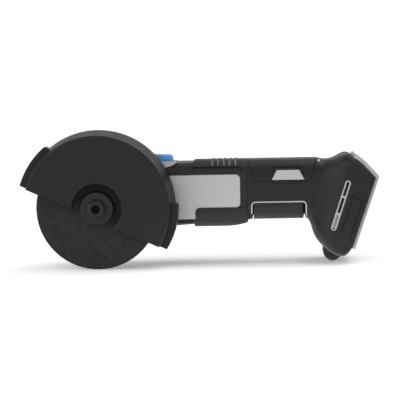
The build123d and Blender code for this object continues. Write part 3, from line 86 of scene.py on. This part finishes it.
class Tree:
    """A material's node tree, with short ways to add nodes."""

    def __init__(self, name):
        self.material = bpy.data.materials.new(name)
        self.material.use_nodes = True
        self.nodes = self.material.node_tree.nodes
        self.links = self.material.node_tree.links
        self.shader = self.nodes["Principled BSDF"]
        self.coords = self.nodes.new("ShaderNodeTexCoord").outputs["Object"]

    def feed(self, socket, value):
        if isinstance(value, bpy.types.NodeSocket):
            self.links.new(value, socket)
        else:
            socket.default_value = value

    def add(self, kind, inputs=None, **settings):
        node = self.nodes.new(kind)
        for key, value in settings.items():
            setattr(node, key, value)
        for key, value in (inputs or {}).items():
            self.feed(node.inputs[key], value)
        return node

    def noise(self, scale, detail=3.0, rough=0.55):
        return self.add("ShaderNodeTexNoise", {
            "Vector": self.coords, "Scale": scale, "Detail": detail, "Roughness": rough,
        }).outputs["Fac"]

    def span(self, value, low, high, start=0.0, end=1.0):
        return self.add("ShaderNodeMapRange", {
            "Value": value, "From Min": start, "From Max": end, "To Min": low, "To Max": high,
        }).outputs["Result"]

    def mix(self, factor, first, second):
        node = self.add("ShaderNodeMix", {"Factor": factor, 6: first, 7: second}, data_type="RGBA")
        return node.outputs[2]

    def math(self, operation, first, second):
        return self.add("ShaderNodeMath", {0: first, 1: second}, operation=operation).outputs[0]

    def bump(self, height, strength, distance, normal=None):
        inputs = {"Height": height, "Strength": strength, "Distance": distance}
        if normal is not None:
            inputs["Normal"] = normal
        return self.add("ShaderNodeBump", inputs).outputs["Normal"]

    def soft_edges(self, radius):
        return self.add("ShaderNodeBevel", {"Radius": radius}, samples=BEVEL_SAMPLES).outputs["Normal"]

    def edge_mask(self, bevel):
        geometry = self.add("ShaderNodeNewGeometry").outputs["Normal"]
        dot = self.add("ShaderNodeVectorMath", {0: bevel, 1: geometry}, operation="DOT_PRODUCT")
        return self.span(dot.outputs["Value"], 1.0, 0.0, *EDGE_TURN)

    def finish(self, color=None, rough=None, normal=None):
        for key, socket in (("Base Color", color), ("Roughness", rough), ("Normal", normal)):
            if socket is not None:
                self.links.new(socket, self.shader.inputs[key])
        return self.material


def rgba(color, share=1.0):
    return (color[0] * share, color[1] * share, color[2] * share, 1.0)


# Moulded plastic: texture scales per metre, height in millimetres, share and step by which rubbed edges pale
MOULD_PATCHES = 55.0
MOULD_RUB = 420.0
MOULD_RUB_BAND = (0.42, 0.7)
MOULD_SHEEN = 130.0
MOULD_SHEEN_SPREAD = 0.06
MOULD_HEIGHT = 0.06
PALE_SHARE = 1.6
PALE_STEP = 0.02


def moulded(name, color, rough, specular=0.4, grain=2400.0, grain_depth=0.25, variation=0.10, wear=0.5,
            radius=0.35, zone=None):
    """Moulded plastic: fine spark-eroded grain, slightly uneven sheen, edges rubbed a little paler.

    A zone holds a function that adds a mask to the tree, and the colour and roughness of the masked part.
    """
    tree = Tree(name)
    tree.shader.inputs["Specular IOR Level"].default_value = specular
    bevel = tree.soft_edges(radius * MM)
    patches = tree.noise(MOULD_PATCHES, 4.0)
    base = tree.mix(patches, rgba(color, 1.0 - variation), rgba(color, 1.0 + variation))
    wear_and_highlight = tree.span(tree.noise(MOULD_RUB), 0.0, wear, *MOULD_RUB_BAND)
    rub = tree.math("MULTIPLY", tree.edge_mask(bevel), wear_and_highlight)
    pale = rgba([min(1.0, channel * PALE_SHARE + PALE_STEP) for channel in color])
    skin = tree.noise(grain, 2.0)
    normal = tree.bump(skin, grain_depth, MOULD_HEIGHT * MM, bevel)
    low, high = rough - MOULD_SHEEN_SPREAD, rough + MOULD_SHEEN_SPREAD
    sheen = tree.span(tree.noise(MOULD_SHEEN, 4.0), low, high, *NOISE_BAND)
    surface = tree.mix(rub, base, pale)
    if zone:
        mask, zone_color, zone_rough = zone
        share = mask(tree)
        surface = tree.mix(share, surface, rgba(zone_color))
        sheen = tree.add("ShaderNodeMix", {"Factor": share, "A": sheen, "B": zone_rough}).outputs["Result"]
    return tree.finish(surface, sheen, normal)


def between(tree, value, low, high, edge):
    """Mask of the places where a value lies between two limits, with soft edges."""
    above = tree.span(value, 0.0, 1.0, low - edge, low + edge)
    below = tree.span(value, 1.0, 0.0, high - edge, high + edge)
    return tree.math("MULTIPLY", above, below)


# Thumb ribs in millimetres, with the first three values as in the part's source. Their crests get a painted
# highlight in uneven patches
RIB_FIRST = 70.4
RIB_PITCH = 3.6
RIB_COUNT = 5
RIB_CREST = 0.5
RIB_CREST_EDGE = 0.25
RIB_LOW = 23.6
RIB_FADE = 1.0
RIB_HIGHLIGHT_PATCHES = 260.0
RIB_HIGHLIGHT_SHARES = (0.45, 1.0)
RIB_HIGHLIGHT_BAND = (0.35, 0.65)


def rib_crest_highlight_mask(tree):
    """Mask of a painted highlight on the crests of the thumb ribs, on their upper part and patchy in
    strength.
    """
    axes = tree.add("ShaderNodeSeparateXYZ", {"Vector": tree.coords}).outputs
    crests = None
    for index in range(RIB_COUNT):
        middle = RIB_FIRST + index * RIB_PITCH
        low, high = (middle - RIB_CREST) * MM, (middle + RIB_CREST) * MM
        crest = between(tree, axes["X"], low, high, RIB_CREST_EDGE * MM)
        crests = crest if crests is None else tree.math("MAXIMUM", crests, crest)
    raised = tree.span(axes["Z"], 0.0, 1.0, RIB_LOW * MM, (RIB_LOW + RIB_FADE) * MM)
    # Painted highlight: crests above the ribs' lower level are coloured paler, with a patchy strength
    wear_and_highlight = tree.math("MULTIPLY", crests, raised)
    return tree.math("MULTIPLY", wear_and_highlight, tree.span(tree.noise(RIB_HIGHLIGHT_PATCHES), *RIB_HIGHLIGHT_SHARES, *RIB_HIGHLIGHT_BAND))


# Disc of painted shade over the clamp screw's socket, radius and soft edge in millimetres
SOCKET_RADIUS = 2.9
SOCKET_EDGE = 0.15


def socket_shade_mask(tree):
    """Mask of painted shade in the socket in the middle of the clamp screw: a disc round the screw's axis."""
    axes = tree.add("ShaderNodeSeparateXYZ", {"Vector": tree.coords}).outputs
    x_square = tree.math("MULTIPLY", axes["X"], axes["X"])
    z_square = tree.math("MULTIPLY", axes["Z"], axes["Z"])
    away = tree.math("POWER", tree.math("ADD", x_square, z_square), 0.5)
    return tree.span(away, 1.0, 0.0, (SOCKET_RADIUS - SOCKET_EDGE) * MM, (SOCKET_RADIUS + SOCKET_EDGE) * MM)


# Powder coat: texture scales per metre, shares of the colour, the peel's strength and height in millimetres
COAT_EDGE = 0.5
COAT_PATCHES = 38.0
COAT_SHARES = (0.86, 1.14)
COAT_SPECKS = 1500.0
COAT_SPECK_BAND = (0.6, 0.75)
COAT_SPECK_MOST = 0.35
COAT_SPECK_SHARE = 1.5
COAT_PEEL = 700.0
COAT_PEEL_DEPTH = (0.22, 0.08)
COAT_SHEEN = 90.0
COAT_SMOOTHER, COAT_ROUGHER = 0.05, 0.07


def coated(name, color, rough, specular):
    """Powder coat: soft orange-peel skin with a fine speckle."""
    tree = Tree(name)
    tree.shader.inputs["Specular IOR Level"].default_value = specular
    bevel = tree.soft_edges(COAT_EDGE * MM)
    patches = tree.noise(COAT_PATCHES, 5.0)
    base = tree.mix(patches, *[rgba(color, share) for share in COAT_SHARES])
    speck = tree.span(tree.noise(COAT_SPECKS, 1.0), 0.0, COAT_SPECK_MOST, *COAT_SPECK_BAND)
    peel_strength, peel_height = COAT_PEEL_DEPTH
    normal = tree.bump(tree.noise(COAT_PEEL, 2.0), peel_strength, peel_height * MM, bevel)
    low, high = rough - COAT_SMOOTHER, rough + COAT_ROUGHER
    sheen = tree.span(tree.noise(COAT_SHEEN, 3.0), low, high, *NOISE_BAND)
    return tree.finish(tree.mix(speck, base, rgba(color, COAT_SPECK_SHARE)), sheen, normal)


# Bonded abrasive: texture scales per metre, shares of the colour, relief strength and height in millimetres
ABRASIVE_SPECULAR = 0.35
NET_TURN = 18.0
NET_SCALE = 125.0
NET_DISTORTION = 0.6
NET_BAND = (0.8, 1.0)
NET_MOST = 0.4
NET_SHARE = 1.7
NET_RELIEF = 0.5
ABRASIVE_SPECKS = 1500.0
ABRASIVE_SPECK_BAND = (0.25, 0.6)
ABRASIVE_SPECK_MOST = 0.5
ABRASIVE_SPECK_SHARE = 0.55
ABRASIVE_PATCHES = 60.0
ABRASIVE_SHARES = (0.75, 1.2)
ABRASIVE_DEPTH = (0.55, 0.15)
ABRASIVE_SHEEN = 300.0
ABRASIVE_ROUGH = (0.72, 0.9)


def abrasive(name, color):
    """Bonded abrasive: dark resin with coarse grit over a woven glass net."""
    tree = Tree(name)
    tree.shader.inputs["Specular IOR Level"].default_value = ABRASIVE_SPECULAR
    turn = (0.0, math.radians(NET_TURN), 0.0)
    turned_coords = tree.add("ShaderNodeMapping", {"Vector": tree.coords, "Rotation": turn}).outputs[0]
    waves = []
    for axis in ("X", "Z"):
        waves.append(tree.add("ShaderNodeTexWave", {
            "Vector": turned_coords, "Scale": NET_SCALE, "Distortion": NET_DISTORTION,
            "Detail": 2.0, "Detail Scale": 3.0,
        }, bands_direction=axis).outputs["Fac"])
    net = tree.math("MAXIMUM", *waves)
    cells = tree.add("ShaderNodeTexVoronoi", {"Vector": tree.coords, "Scale": ABRASIVE_SPECKS})
    specks = cells.outputs["Distance"]
    patches = tree.noise(ABRASIVE_PATCHES, 5.0)
    dark = tree.mix(patches, *[rgba(color, share) for share in ABRASIVE_SHARES])
    speck = tree.span(specks, 0.0, ABRASIVE_SPECK_MOST, *ABRASIVE_SPECK_BAND)
    specked = tree.mix(speck, dark, rgba(color, ABRASIVE_SPECK_SHARE))
    woven = tree.mix(tree.span(net, 0.0, NET_MOST, *NET_BAND), specked, rgba(color, NET_SHARE))
    relief = tree.math("ADD", tree.math("MULTIPLY", net, NET_RELIEF), specks)
    relief_strength, relief_height = ABRASIVE_DEPTH
    normal = tree.bump(relief, relief_strength, relief_height * MM)
    sheen = tree.span(tree.noise(ABRASIVE_SHEEN), *ABRASIVE_ROUGH, *NOISE_BAND)
    return tree.finish(woven, sheen, normal)


# Metal: texture scales per metre, shares of the colour, and the marks' strength and height in millimetres
METAL_MARKS = 900.0
METAL_PATCHES = 70.0
METAL_SHARES = (0.85, 1.1)
METAL_DEPTH = (0.12, 0.05)
METAL_EDGE = 0.2
METAL_SMOOTHER, METAL_ROUGHER = 0.08, 0.1


def metal(name, color, rough):
    """Machined metal: fine marks with an uneven sheen."""
    tree = Tree(name)
    tree.shader.inputs["Metallic"].default_value = 1.0
    marks = tree.noise(METAL_MARKS, 3.0, 0.6)
    patches = tree.noise(METAL_PATCHES, 4.0)
    base = tree.mix(patches, *[rgba(color, share) for share in METAL_SHARES])
    mark_strength, mark_height = METAL_DEPTH
    normal = tree.bump(marks, mark_strength, mark_height * MM, tree.soft_edges(METAL_EDGE * MM))
    sheen = tree.span(marks, rough - METAL_SMOOTHER, rough + METAL_ROUGHER, *NOISE_BAND)
    return tree.finish(base, sheen, normal)


BLACK = (0.006, 0.006, 0.0063)
COAT_BLACK = (0.0064, 0.0064, 0.0067)
CAST_BLACK = (0.0078, 0.0078, 0.0081)
RUBBER_BLACK = (0.0085, 0.0085, 0.0089)
ABRASIVE_BLACK = (0.010, 0.010, 0.0102)
# Painted shade colour for the socket of the clamp screw
SOCKET_SHADE = (0.0015, 0.0015, 0.0015)
SCREW_BLACK = (0.06, 0.06, 0.062)
# Painted highlight colour for the crests of the thumb ribs
RIB_CREST_HIGHLIGHT = (0.13, 0.13, 0.131)
MID_GREY = (0.15, 0.15, 0.148)
GREY = (0.335, 0.335, 0.327)
BLUE = (0.05, 0.24, 0.56)
STEEL = (0.56, 0.56, 0.57)
COPPER = (0.75, 0.4, 0.2)
BOARD_GREEN = (0.02, 0.12, 0.05)
LEAD_RED = (0.35, 0.015, 0.015)
OXIDE = {"rough": 0.4, "specular": 0.22, "grain": 900.0, "grain_depth": 0.15, "wear": 0.8}
# Painted highlight: paler grey crests on the thumb ribs of the rubber
rib_highlight_zone = (rib_crest_highlight_mask, RIB_CREST_HIGHLIGHT, 0.5)
# Painted shade: the clamp screw's socket is coloured near black
socket_shade_zone = (socket_shade_mask, SOCKET_SHADE, 0.85)
materials = {
    "black_plastic": moulded("black_plastic", BLACK, 0.46, specular=0.2),
    "black_metal": moulded("black_metal", CAST_BLACK, 0.42, specular=0.2, grain=1500.0, grain_depth=0.3),
    "guard_black": coated("guard_black", COAT_BLACK, 0.44, specular=0.18),
    "rubber": moulded("rubber", RUBBER_BLACK, 0.56, specular=0.22, grain=1700.0, grain_depth=0.4, wear=0.9,
                      radius=0.55, zone=rib_highlight_zone),
    "light_grey": moulded("light_grey", GREY, 0.5, variation=0.03, wear=0.15),
    "blue": moulded("blue", BLUE, 0.36, specular=0.35, variation=0.06, wear=0.2),
    "abrasive": abrasive("abrasive", ABRASIVE_BLACK),
    "steel": metal("steel", STEEL, 0.3),
    "dark_steel": moulded("dark_steel", CAST_BLACK, **OXIDE),
    "copper": metal("copper", COPPER, 0.3),
    "board": moulded("board", BOARD_GREEN, 0.35),
    "lead": moulded("lead", LEAD_RED, 0.4),
    "clamp_black": moulded("clamp_black", CAST_BLACK, zone=socket_shade_zone, **OXIDE),
    "mid_grey": moulded("mid_grey", MID_GREY, 0.5, variation=0.05, wear=0.2),
    "screw_black": metal("screw_black", SCREW_BLACK, 0.34),
}
slot_of = {entry["node"]: entry["material_slot"] for entry in frame["record"]["subparts"]}
own_finish = {"outer_flange": "dark_steel", "clamp_screw": "clamp_black"}
for name, piece in nodes.items():
    piece.data.materials.clear()
    piece.data.materials.append(materials[own_finish.get(name, slot_of[name])])


# Pieces made here

def angles(count):
    return [2 * math.pi * step / count for step in range(count)]


def wrap_rings(mesh, rings, close_start=False, close_end=False):
    """Joins rings of points, each with the same count, into a skin. A closed end gets a fan to its middle."""
    loops = [[mesh.verts.new(point) for point in ring] for ring in rings]
    count = len(loops[0])
    for first, second in zip(loops, loops[1:]):
        for index in range(count):
            after = (index + 1) % count
            mesh.faces.new((first[index], first[after], second[after], second[index]))
    for closed, loop, turn_over in ((close_start, loops[0], True), (close_end, loops[-1], False)):
        if closed:
            hub = mesh.verts.new(sum((vert.co for vert in loop), Vector()) / count)
            for index in range(count):
                after = (index + 1) % count
                corner = (loop[index], loop[after], hub)
                mesh.faces.new(corner[::-1] if turn_over else corner)


def piece_of(name, mesh, body, slot, finish=None, sharp=35.0):
    """Turns a bmesh into a piece that rides on a body."""
    bmesh.ops.recalc_face_normals(mesh, faces=mesh.faces)
    data = bpy.data.meshes.new(name)
    mesh.to_mesh(data)
    mesh.free()
    data.shade_smooth()
    data.set_sharp_from_angle(angle=math.radians(sharp))
    data.materials.append(materials[finish or slot])
    piece = bpy.data.objects.new(name, data)
    bpy.context.scene.collection.objects.link(piece)
    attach(piece, body)
    return piece


def turned(frame_matrix, profile, count, shape=None):
    """Rings about a matrix's local Z, from (radius, height) pairs. shape(index, angle) scales the radius."""
    rings = []
    for index, (radius, height) in enumerate(profile):
        ring = []
        for angle in angles(count):
            share = shape(index, angle) if shape else 1.0
            ring.append(frame_matrix @ Vector((
                radius * share * math.cos(angle) * MM, radius * share * math.sin(angle) * MM, height * MM,
            )))
        rings.append(ring)
    return rings


# Cutting disc: bonded grit, with a slightly ragged edge
DISC_RADIUS = 38.0
DISC_BORE = 5.0
DISC_HALF = 0.6
DISC_STEPS = 300
DISC_RINGS = 46
DISC_EASE = 0.25
GRIT_PITCH = 1.1
GRIT_DEPTH = 0.09
GRIT_APART = 40.0
FINE_GRIT_DEPTH = 0.03
FINE_GRIT_SCALE = 3.1
RAGGED_DEPTH = 0.16
RAGGED_SCALE = 34.0
RAGGED_LEVEL = 0.3
DISC_WELD = 1e-7


def grit(x, z, side):
    place = Vector((x / GRIT_PITCH, side * GRIT_APART, z / GRIT_PITCH))
    fine = FINE_GRIT_DEPTH * abs(noise.noise(place * FINE_GRIT_SCALE))
    return GRIT_DEPTH * (0.5 + 0.5 * noise.noise(place)) + fine


disc_mesh = bmesh.new()
disc_rings = []
for side in (-1, 1):
    face = []
    for index in range(DISC_RINGS + 1):
        reach = DISC_BORE + (DISC_RADIUS - DISC_EASE - DISC_BORE) * index / DISC_RINGS
        ring = []
        for angle in angles(DISC_STEPS):
            x, z = reach * math.cos(angle), reach * math.sin(angle)
            ring.append(Vector((x * MM, side * (DISC_HALF - grit(x, z, side)) * MM, z * MM)))
        face.append(ring)
    disc_rings.append(face)
edge = []
for angle in angles(DISC_STEPS):
    place = Vector((math.cos(angle), math.sin(angle), RAGGED_LEVEL)) * RAGGED_SCALE
    ragged = DISC_RADIUS - RAGGED_DEPTH * (0.5 + 0.5 * noise.noise(place))
    edge.append(Vector((ragged * math.cos(angle) * MM, 0.0, ragged * math.sin(angle) * MM)))
around = disc_rings[0] + [edge] + disc_rings[1][::-1]
wrap_rings(disc_mesh, around + [around[0]])
bmesh.ops.remove_doubles(disc_mesh, verts=disc_mesh.verts, dist=DISC_WELD)
disc_piece = piece_of("disc_grit", disc_mesh, "spindle", "abrasive", sharp=60.0)
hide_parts("cutting_disc")

# Screws of the handle, with star sockets, in the recesses on the far side
SCREW_PLACES = [(97.5, 12.8), (132.5, 8.0), (140.6, -14.0), (143.0, 17.5)]
SCREW_SEAT = 45.0
SCREW_LENGTH = 26.0
SCREW_STEPS = 48
SCREW_PROFILE = [
    (1.3, -SCREW_LENGTH), (1.5, 0.4 - SCREW_LENGTH), (1.5, 0.0), (2.6, 0.0), (2.8, 0.25), (2.8, 1.9),
    (2.65, 2.4), (2.3, 2.8), (1.8, 3.0), (1.5, 3.0), (1.42, 2.9), (1.38, 1.3), (0.5, 1.1),
]
STAR_RINGS = (9, 10, 11)
STAR_LOBES = 6
STAR_DEPTH = 0.16
STAR_INSET = 0.6


def star(index, angle):
    """Share of the radius in the socket's rings, which have lobes."""
    if index not in STAR_RINGS:
        return 1.0
    return 1.0 + STAR_DEPTH * (math.cos(STAR_LOBES * angle) - STAR_INSET)


screw_mesh = bmesh.new()
for x, z in SCREW_PLACES:
    place = Matrix.Translation((x * MM, SCREW_SEAT * MM, z * MM))
    standing = place @ Matrix.Rotation(math.radians(-90.0), 4, "X")
    wrap_rings(screw_mesh, turned(standing, SCREW_PROFILE, SCREW_STEPS, star), True, True)
screws = piece_of("handle_screws", screw_mesh, "housing", "dark_steel", "screw_black", sharp=40.0)
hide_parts("housing_screws")


CAPSULE_STEPS = 32
FLAT_TURN = 1e-6


def capsule(middle, direction, length, width, levels):
    """Rings of a rounded bar on a side face: levels are (inset, y) pairs in millimetres."""
    along = Vector((direction[0], 0.0, direction[1])).normalized()
    across = Vector((-along.z, 0.0, along.x))
    rings = []
    for inset, y in levels:
        ring = []
        for angle in angles(CAPSULE_STEPS):
            leans = abs(math.cos(angle)) > FLAT_TURN
            end = math.copysign(length / 2, math.cos(angle)) if leans else length / 2
            radius = width / 2 - inset
            local = along * (end + radius * math.cos(angle)) + across * (radius * math.sin(angle))
            ring.append((Vector((middle[0], 0.0, middle[1])) + local) * MM + Vector((0.0, y * MM, 0.0)))
        rings.append(ring)
    return rings


# Grey bars in the closed lower end of the slots on the foot; levels are (inset, depth under the face) pairs
SLOT_BOTTOM = (145.0, -15.0)
SLOT_TOP = (154.1, 12.3)
INLAY_SHARE = 0.155
INLAY_LENGTH = 6.4
INLAY_WIDTH = 1.5
INLAY_LEVELS = ((0.0, 0.35), (0.0, 0.2), (0.12, 0.1))
FACE_NEAR = 6.2
FACE_FAR = 59.8
slot_way = (SLOT_TOP[0] - SLOT_BOTTOM[0], SLOT_TOP[1] - SLOT_BOTTOM[1])
inlay_middle = (SLOT_BOTTOM[0] + INLAY_SHARE * slot_way[0], SLOT_BOTTOM[1] + INLAY_SHARE * slot_way[1])
for name, surface, out in (("near", FACE_NEAR, -1), ("far", FACE_FAR, 1)):
    bar_mesh = bmesh.new()
    levels = [(inset, surface - out * depth) for inset, depth in INLAY_LEVELS]
    wrap_rings(bar_mesh, capsule(inlay_middle, slot_way, INLAY_LENGTH, INLAY_WIDTH, levels), True, True)
    piece_of("slot_inlay_" + name, bar_mesh, "housing", "light_grey", "mid_grey")


# Small pale studs at the rear corners of the top cover
STUD_PLACE = (136.6, 14.8, 26.1)
STUD_LEAN = 29.0
STUD_STEPS = 28
STUD_PROFILE = [(1.0, -0.6), (1.0, 0.15), (0.92, 0.33), (0.72, 0.5), (0.4, 0.6), (0.15, 0.62)]
BODY_CENTRE = 33.0
for name, side in (("near", -1), ("far", 1)):
    stud_mesh = bmesh.new()
    standing = Matrix.Translation((
        STUD_PLACE[0] * MM, (BODY_CENTRE + side * STUD_PLACE[1]) * MM, STUD_PLACE[2] * MM,
    )) @ Matrix.Rotation(math.radians(-side * STUD_LEAN), 4, "X")
    wrap_rings(stud_mesh, turned(standing, STUD_PROFILE, STUD_STEPS), True, True)
    piece_of("cover_stud_" + name, stud_mesh, "housing", "light_grey")

# Terminal block in the battery pocket: a base with a strip under each blade and guards between them
FACE_CORNER = Vector((171.3, 0.0, 15.8))
FACE_HEEL = Vector((156.1, 0.0, -28.2))
POCKET_DEPTH = 9.0
SEAT_STOP = 8.0
TERMINAL_MARGIN = 1.0
TERMINAL_SIZE = (24.0, 20.0, 5.5)
TERMINAL_BASE = 4.2
TERMINAL_EDGE = 0.4
BLADE_PLACES = (-9.0, -3.0, 3.0, 9.0)
STRIP_HALF = (1.0, 7.6)
GUARD_PLACES = (-11.2, -6.0, 0.0, 6.0, 11.2)
GUARD_HALF = (0.8, 9.4)
BAR_SUNK = 0.5
BAR_EDGE = 0.25
face_down = (FACE_HEEL - FACE_CORNER).normalized()
face_out = Vector((-face_down.z, 0.0, face_down.x))
terminal_middle = (FACE_HEEL - FACE_CORNER).length - SEAT_STOP - TERMINAL_MARGIN - TERMINAL_SIZE[1] / 2
terminal_foot = FACE_CORNER + face_down * terminal_middle - face_out * POCKET_DEPTH
terminal_frame = Matrix((
    (0.0, face_down.x, face_out.x, terminal_foot.x * MM),
    (1.0, face_down.y, face_out.y, BODY_CENTRE * MM),
    (0.0, face_down.z, face_out.z, terminal_foot.z * MM),
    (0.0, 0.0, 0.0, 1.0),
))


def eased_block(mesh, placed, low, high, edge):
    """Adds a block between two corners of a local frame, in millimetres, with rounded edges."""
    middle = [(a + b) / 2 * MM for a, b in zip(low, high)]
    size = [(b - a) * MM for a, b in zip(low, high)]
    matrix = placed @ Matrix.Translation(middle) @ Matrix.Diagonal((*size, 1.0))
    made = bmesh.ops.create_cube(mesh, size=1.0, matrix=matrix)
    edges = list(dict.fromkeys(edge_of for vert in made["verts"] for edge_of in vert.link_edges))
    bmesh.ops.bevel(mesh, geom=edges, offset=edge * MM, segments=2, profile=0.5, affect="EDGES")


terminal_mesh = bmesh.new()
wide, long, tall = TERMINAL_SIZE
low_corner, high_corner = (-wide / 2, -long / 2, 0.0), (wide / 2, long / 2, TERMINAL_BASE)
eased_block(terminal_mesh, terminal_frame, low_corner, high_corner, TERMINAL_EDGE)
for places, (half_wide, half_long) in ((BLADE_PLACES, STRIP_HALF), (GUARD_PLACES, GUARD_HALF)):
    for place in places:
        low_corner = (place - half_wide, -half_long, TERMINAL_BASE - BAR_SUNK)
        high_corner = (place + half_wide, half_long, tall)
        eased_block(terminal_mesh, terminal_frame, low_corner, high_corner, BAR_EDGE)
terminal = piece_of("terminal_face", terminal_mesh, "housing", "black_plastic", sharp=50.0)
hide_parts("terminal_block")

# Coil spring under the lock button, built at one length; the real spring shortens as the button goes down
COIL_Y = 19.0
COIL_SEAT = 15.25
COIL_TOP = 24.1
COIL_RADIUS = 2.6
COIL_WIRE = 0.4
COIL_TURNS = 5
COIL_STEPS = 28
COIL_SIDES = 10
coil_length = COIL_TOP - COIL_SEAT
coil_rise = (coil_length - 2 * COIL_WIRE) / (COIL_TURNS * COIL_STEPS)
coil_rings = []
for step in range(COIL_TURNS * COIL_STEPS + 1):
    around = 2 * math.pi * step / COIL_STEPS
    height = COIL_SEAT + COIL_WIRE + coil_rise * step
    ring = []
    for angle in angles(COIL_SIDES):
        reach_out = COIL_RADIUS + COIL_WIRE * math.cos(angle)
        ring.append(Vector((
            reach_out * math.cos(around),
            COIL_Y + reach_out * math.sin(around),
            height + COIL_WIRE * math.sin(angle),
        )) * MM)
    coil_rings.append(ring)
coil_mesh = bmesh.new()
wrap_rings(coil_mesh, coil_rings, True, True)
coil = piece_of("lock_coil", coil_mesh, "housing", "steel")
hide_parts("lock_spring")
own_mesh(coil)


# Floor, light and camera

scene = bpy.context.scene
scene.view_settings.view_transform = "Standard"

# The floor shows paler the further it lies from the origin; distances in metres
FLOOR_REACH = 6.0
FLOOR_TINTS = ((0.93, 0.93, 0.93, 1.0), (0.95, 0.95, 0.95, 1.0))
FLOOR_MOTTLE = 3.0
FLOOR_ROUGH = 0.9
FLOOR_SPECULAR = 0.1
GLOW_DISTANCES = (0.2, 1.2)
GLOW_LEVELS = (0.17, 0.6)
GLOW_MIRRORED = 0.5
WHITE = (1.0, 1.0, 1.0, 1.0)
floor_mesh = bpy.data.meshes.new("floor")
floor_height = cad_box[0][2]
corners = [(x * FLOOR_REACH, y * FLOOR_REACH, floor_height) for x, y in ((-1, -1), (1, -1), (1, 1), (-1, 1))]
floor_mesh.from_pydata(corners, [], [(0, 1, 2, 3)])
floor = bpy.data.objects.new("floor", floor_mesh)
scene.collection.objects.link(floor)
pale = Tree("floor_pale")
pale.shader.inputs["Roughness"].default_value = FLOOR_ROUGH
pale.shader.inputs["Specular IOR Level"].default_value = FLOOR_SPECULAR
pale.shader.inputs["Emission Color"].default_value = WHITE
away = pale.add("ShaderNodeVectorMath", {0: pale.coords}, operation="LENGTH").outputs["Value"]
rays = pale.add("ShaderNodeLightPath").outputs
direct = pale.math("MAXIMUM", rays["Is Camera Ray"], rays["Is Transmission Ray"])
seen_glow = pale.math("MULTIPLY", direct, pale.span(away, *GLOW_LEVELS, *GLOW_DISTANCES))
mirrored_glow = pale.math("MULTIPLY", rays["Is Glossy Ray"], GLOW_MIRRORED)
glow = pale.math("ADD", seen_glow, mirrored_glow)
pale.links.new(glow, pale.shader.inputs["Emission Strength"])
floor_mesh.materials.append(pale.finish(pale.mix(pale.noise(FLOOR_MOTTLE), *FLOOR_TINTS)))

# Strength of the surroundings as light, in reflections and as seen
SKY_LIGHT = 0.46
SKY_MIRRORED = 0.78
SKY_SEEN = 1.0
world = bpy.data.worlds.new("studio")
scene.world = world
world.use_nodes = True
sky = world.node_tree
sky.nodes.clear()
path = sky.nodes.new("ShaderNodeLightPath")
seen = sky.nodes.new("ShaderNodeMath")
seen.operation = "MAXIMUM"
sky.links.new(path.outputs["Is Camera Ray"], seen.inputs[0])
sky.links.new(path.outputs["Is Transmission Ray"], seen.inputs[1])
mirrored = sky.nodes.new("ShaderNodeMath")
mirrored.operation = "MULTIPLY_ADD"
sky.links.new(path.outputs["Is Glossy Ray"], mirrored.inputs[0])
mirrored.inputs[1].default_value = SKY_MIRRORED - SKY_LIGHT
mirrored.inputs[2].default_value = SKY_LIGHT
strength = sky.nodes.new("ShaderNodeMath")
strength.operation = "MULTIPLY_ADD"
sky.links.new(seen.outputs[0], strength.inputs[0])
strength.inputs[1].default_value = SKY_SEEN - SKY_LIGHT
sky.links.new(mirrored.outputs[0], strength.inputs[2])
background = sky.nodes.new("ShaderNodeBackground")
background.inputs["Color"].default_value = WHITE
sky.links.new(strength.outputs[0], background.inputs["Strength"])
output = sky.nodes.new("ShaderNodeOutputWorld")
sky.links.new(background.outputs[0], output.inputs["Surface"])


# Lamps: place, target and size in metres, power in watts. The last lies near the floor, for the undersides
PART_MIDDLE = (0.06, 0.03, 0.0)
LAMPS = {
    "key": ((-0.5, -0.8, 0.45), PART_MIDDLE, (0.9, 0.8), 4.8),
    "top": ((0.4, 0.08, 0.9), PART_MIDDLE, (1.0, 0.6), 4.2),
    "rim": ((1.0, 0.25, 0.4), PART_MIDDLE, (0.5, 0.7), 2.5),
    "low": ((0.55, -0.6, 0.0), PART_MIDDLE, (0.5, 0.06), 0.5),
    "left": ((-0.95, -0.15, 0.4), PART_MIDDLE, (0.5, 0.6), 3.0),
    "under": ((0.1, -0.04, -0.0365), (0.1, -0.04, 1.0), (0.16, 0.16), 0.075),
}
for name, (place, target, size, power) in LAMPS.items():
    light = bpy.data.lights.new(name, "AREA")
    light.shape = "RECTANGLE"
    light.size, light.size_y = size
    light.energy = power
    holder = bpy.data.objects.new(name, light)
    holder.location = place
    holder.rotation_euler = (Vector(target) - Vector(place)).to_track_quat("-Z", "Y").to_euler()
    holder.visible_camera = False
    scene.collection.objects.link(holder)

camera_data = bpy.data.cameras.new("camera")
camera_data.sensor_width = SENSOR_WIDTH
camera_data.lens = FOCAL_PIXELS * SENSOR_WIDTH / PICTURE
camera_data.clip_start = CLIP_START
camera = bpy.data.objects.new("camera", camera_data)
scene.collection.objects.link(camera)
turn = (
    Matrix.Rotation(math.radians(AZIMUTH), 3, "Z")
    @ Matrix.Rotation(math.radians(90.0 - ELEVATION), 3, "X")
    @ Matrix.Rotation(math.radians(ROLL), 3, "Z")
)
half = PICTURE / 2
seen_at = Vector((
    (ORIGIN_PIXEL[0] - half) / FOCAL_PIXELS * DISTANCE,
    (half - ORIGIN_PIXEL[1]) / FOCAL_PIXELS * DISTANCE,
    -DISTANCE,
))
camera.matrix_world = Matrix.Translation(-(turn @ seen_at)) @ turn.to_4x4()
scene.camera = camera
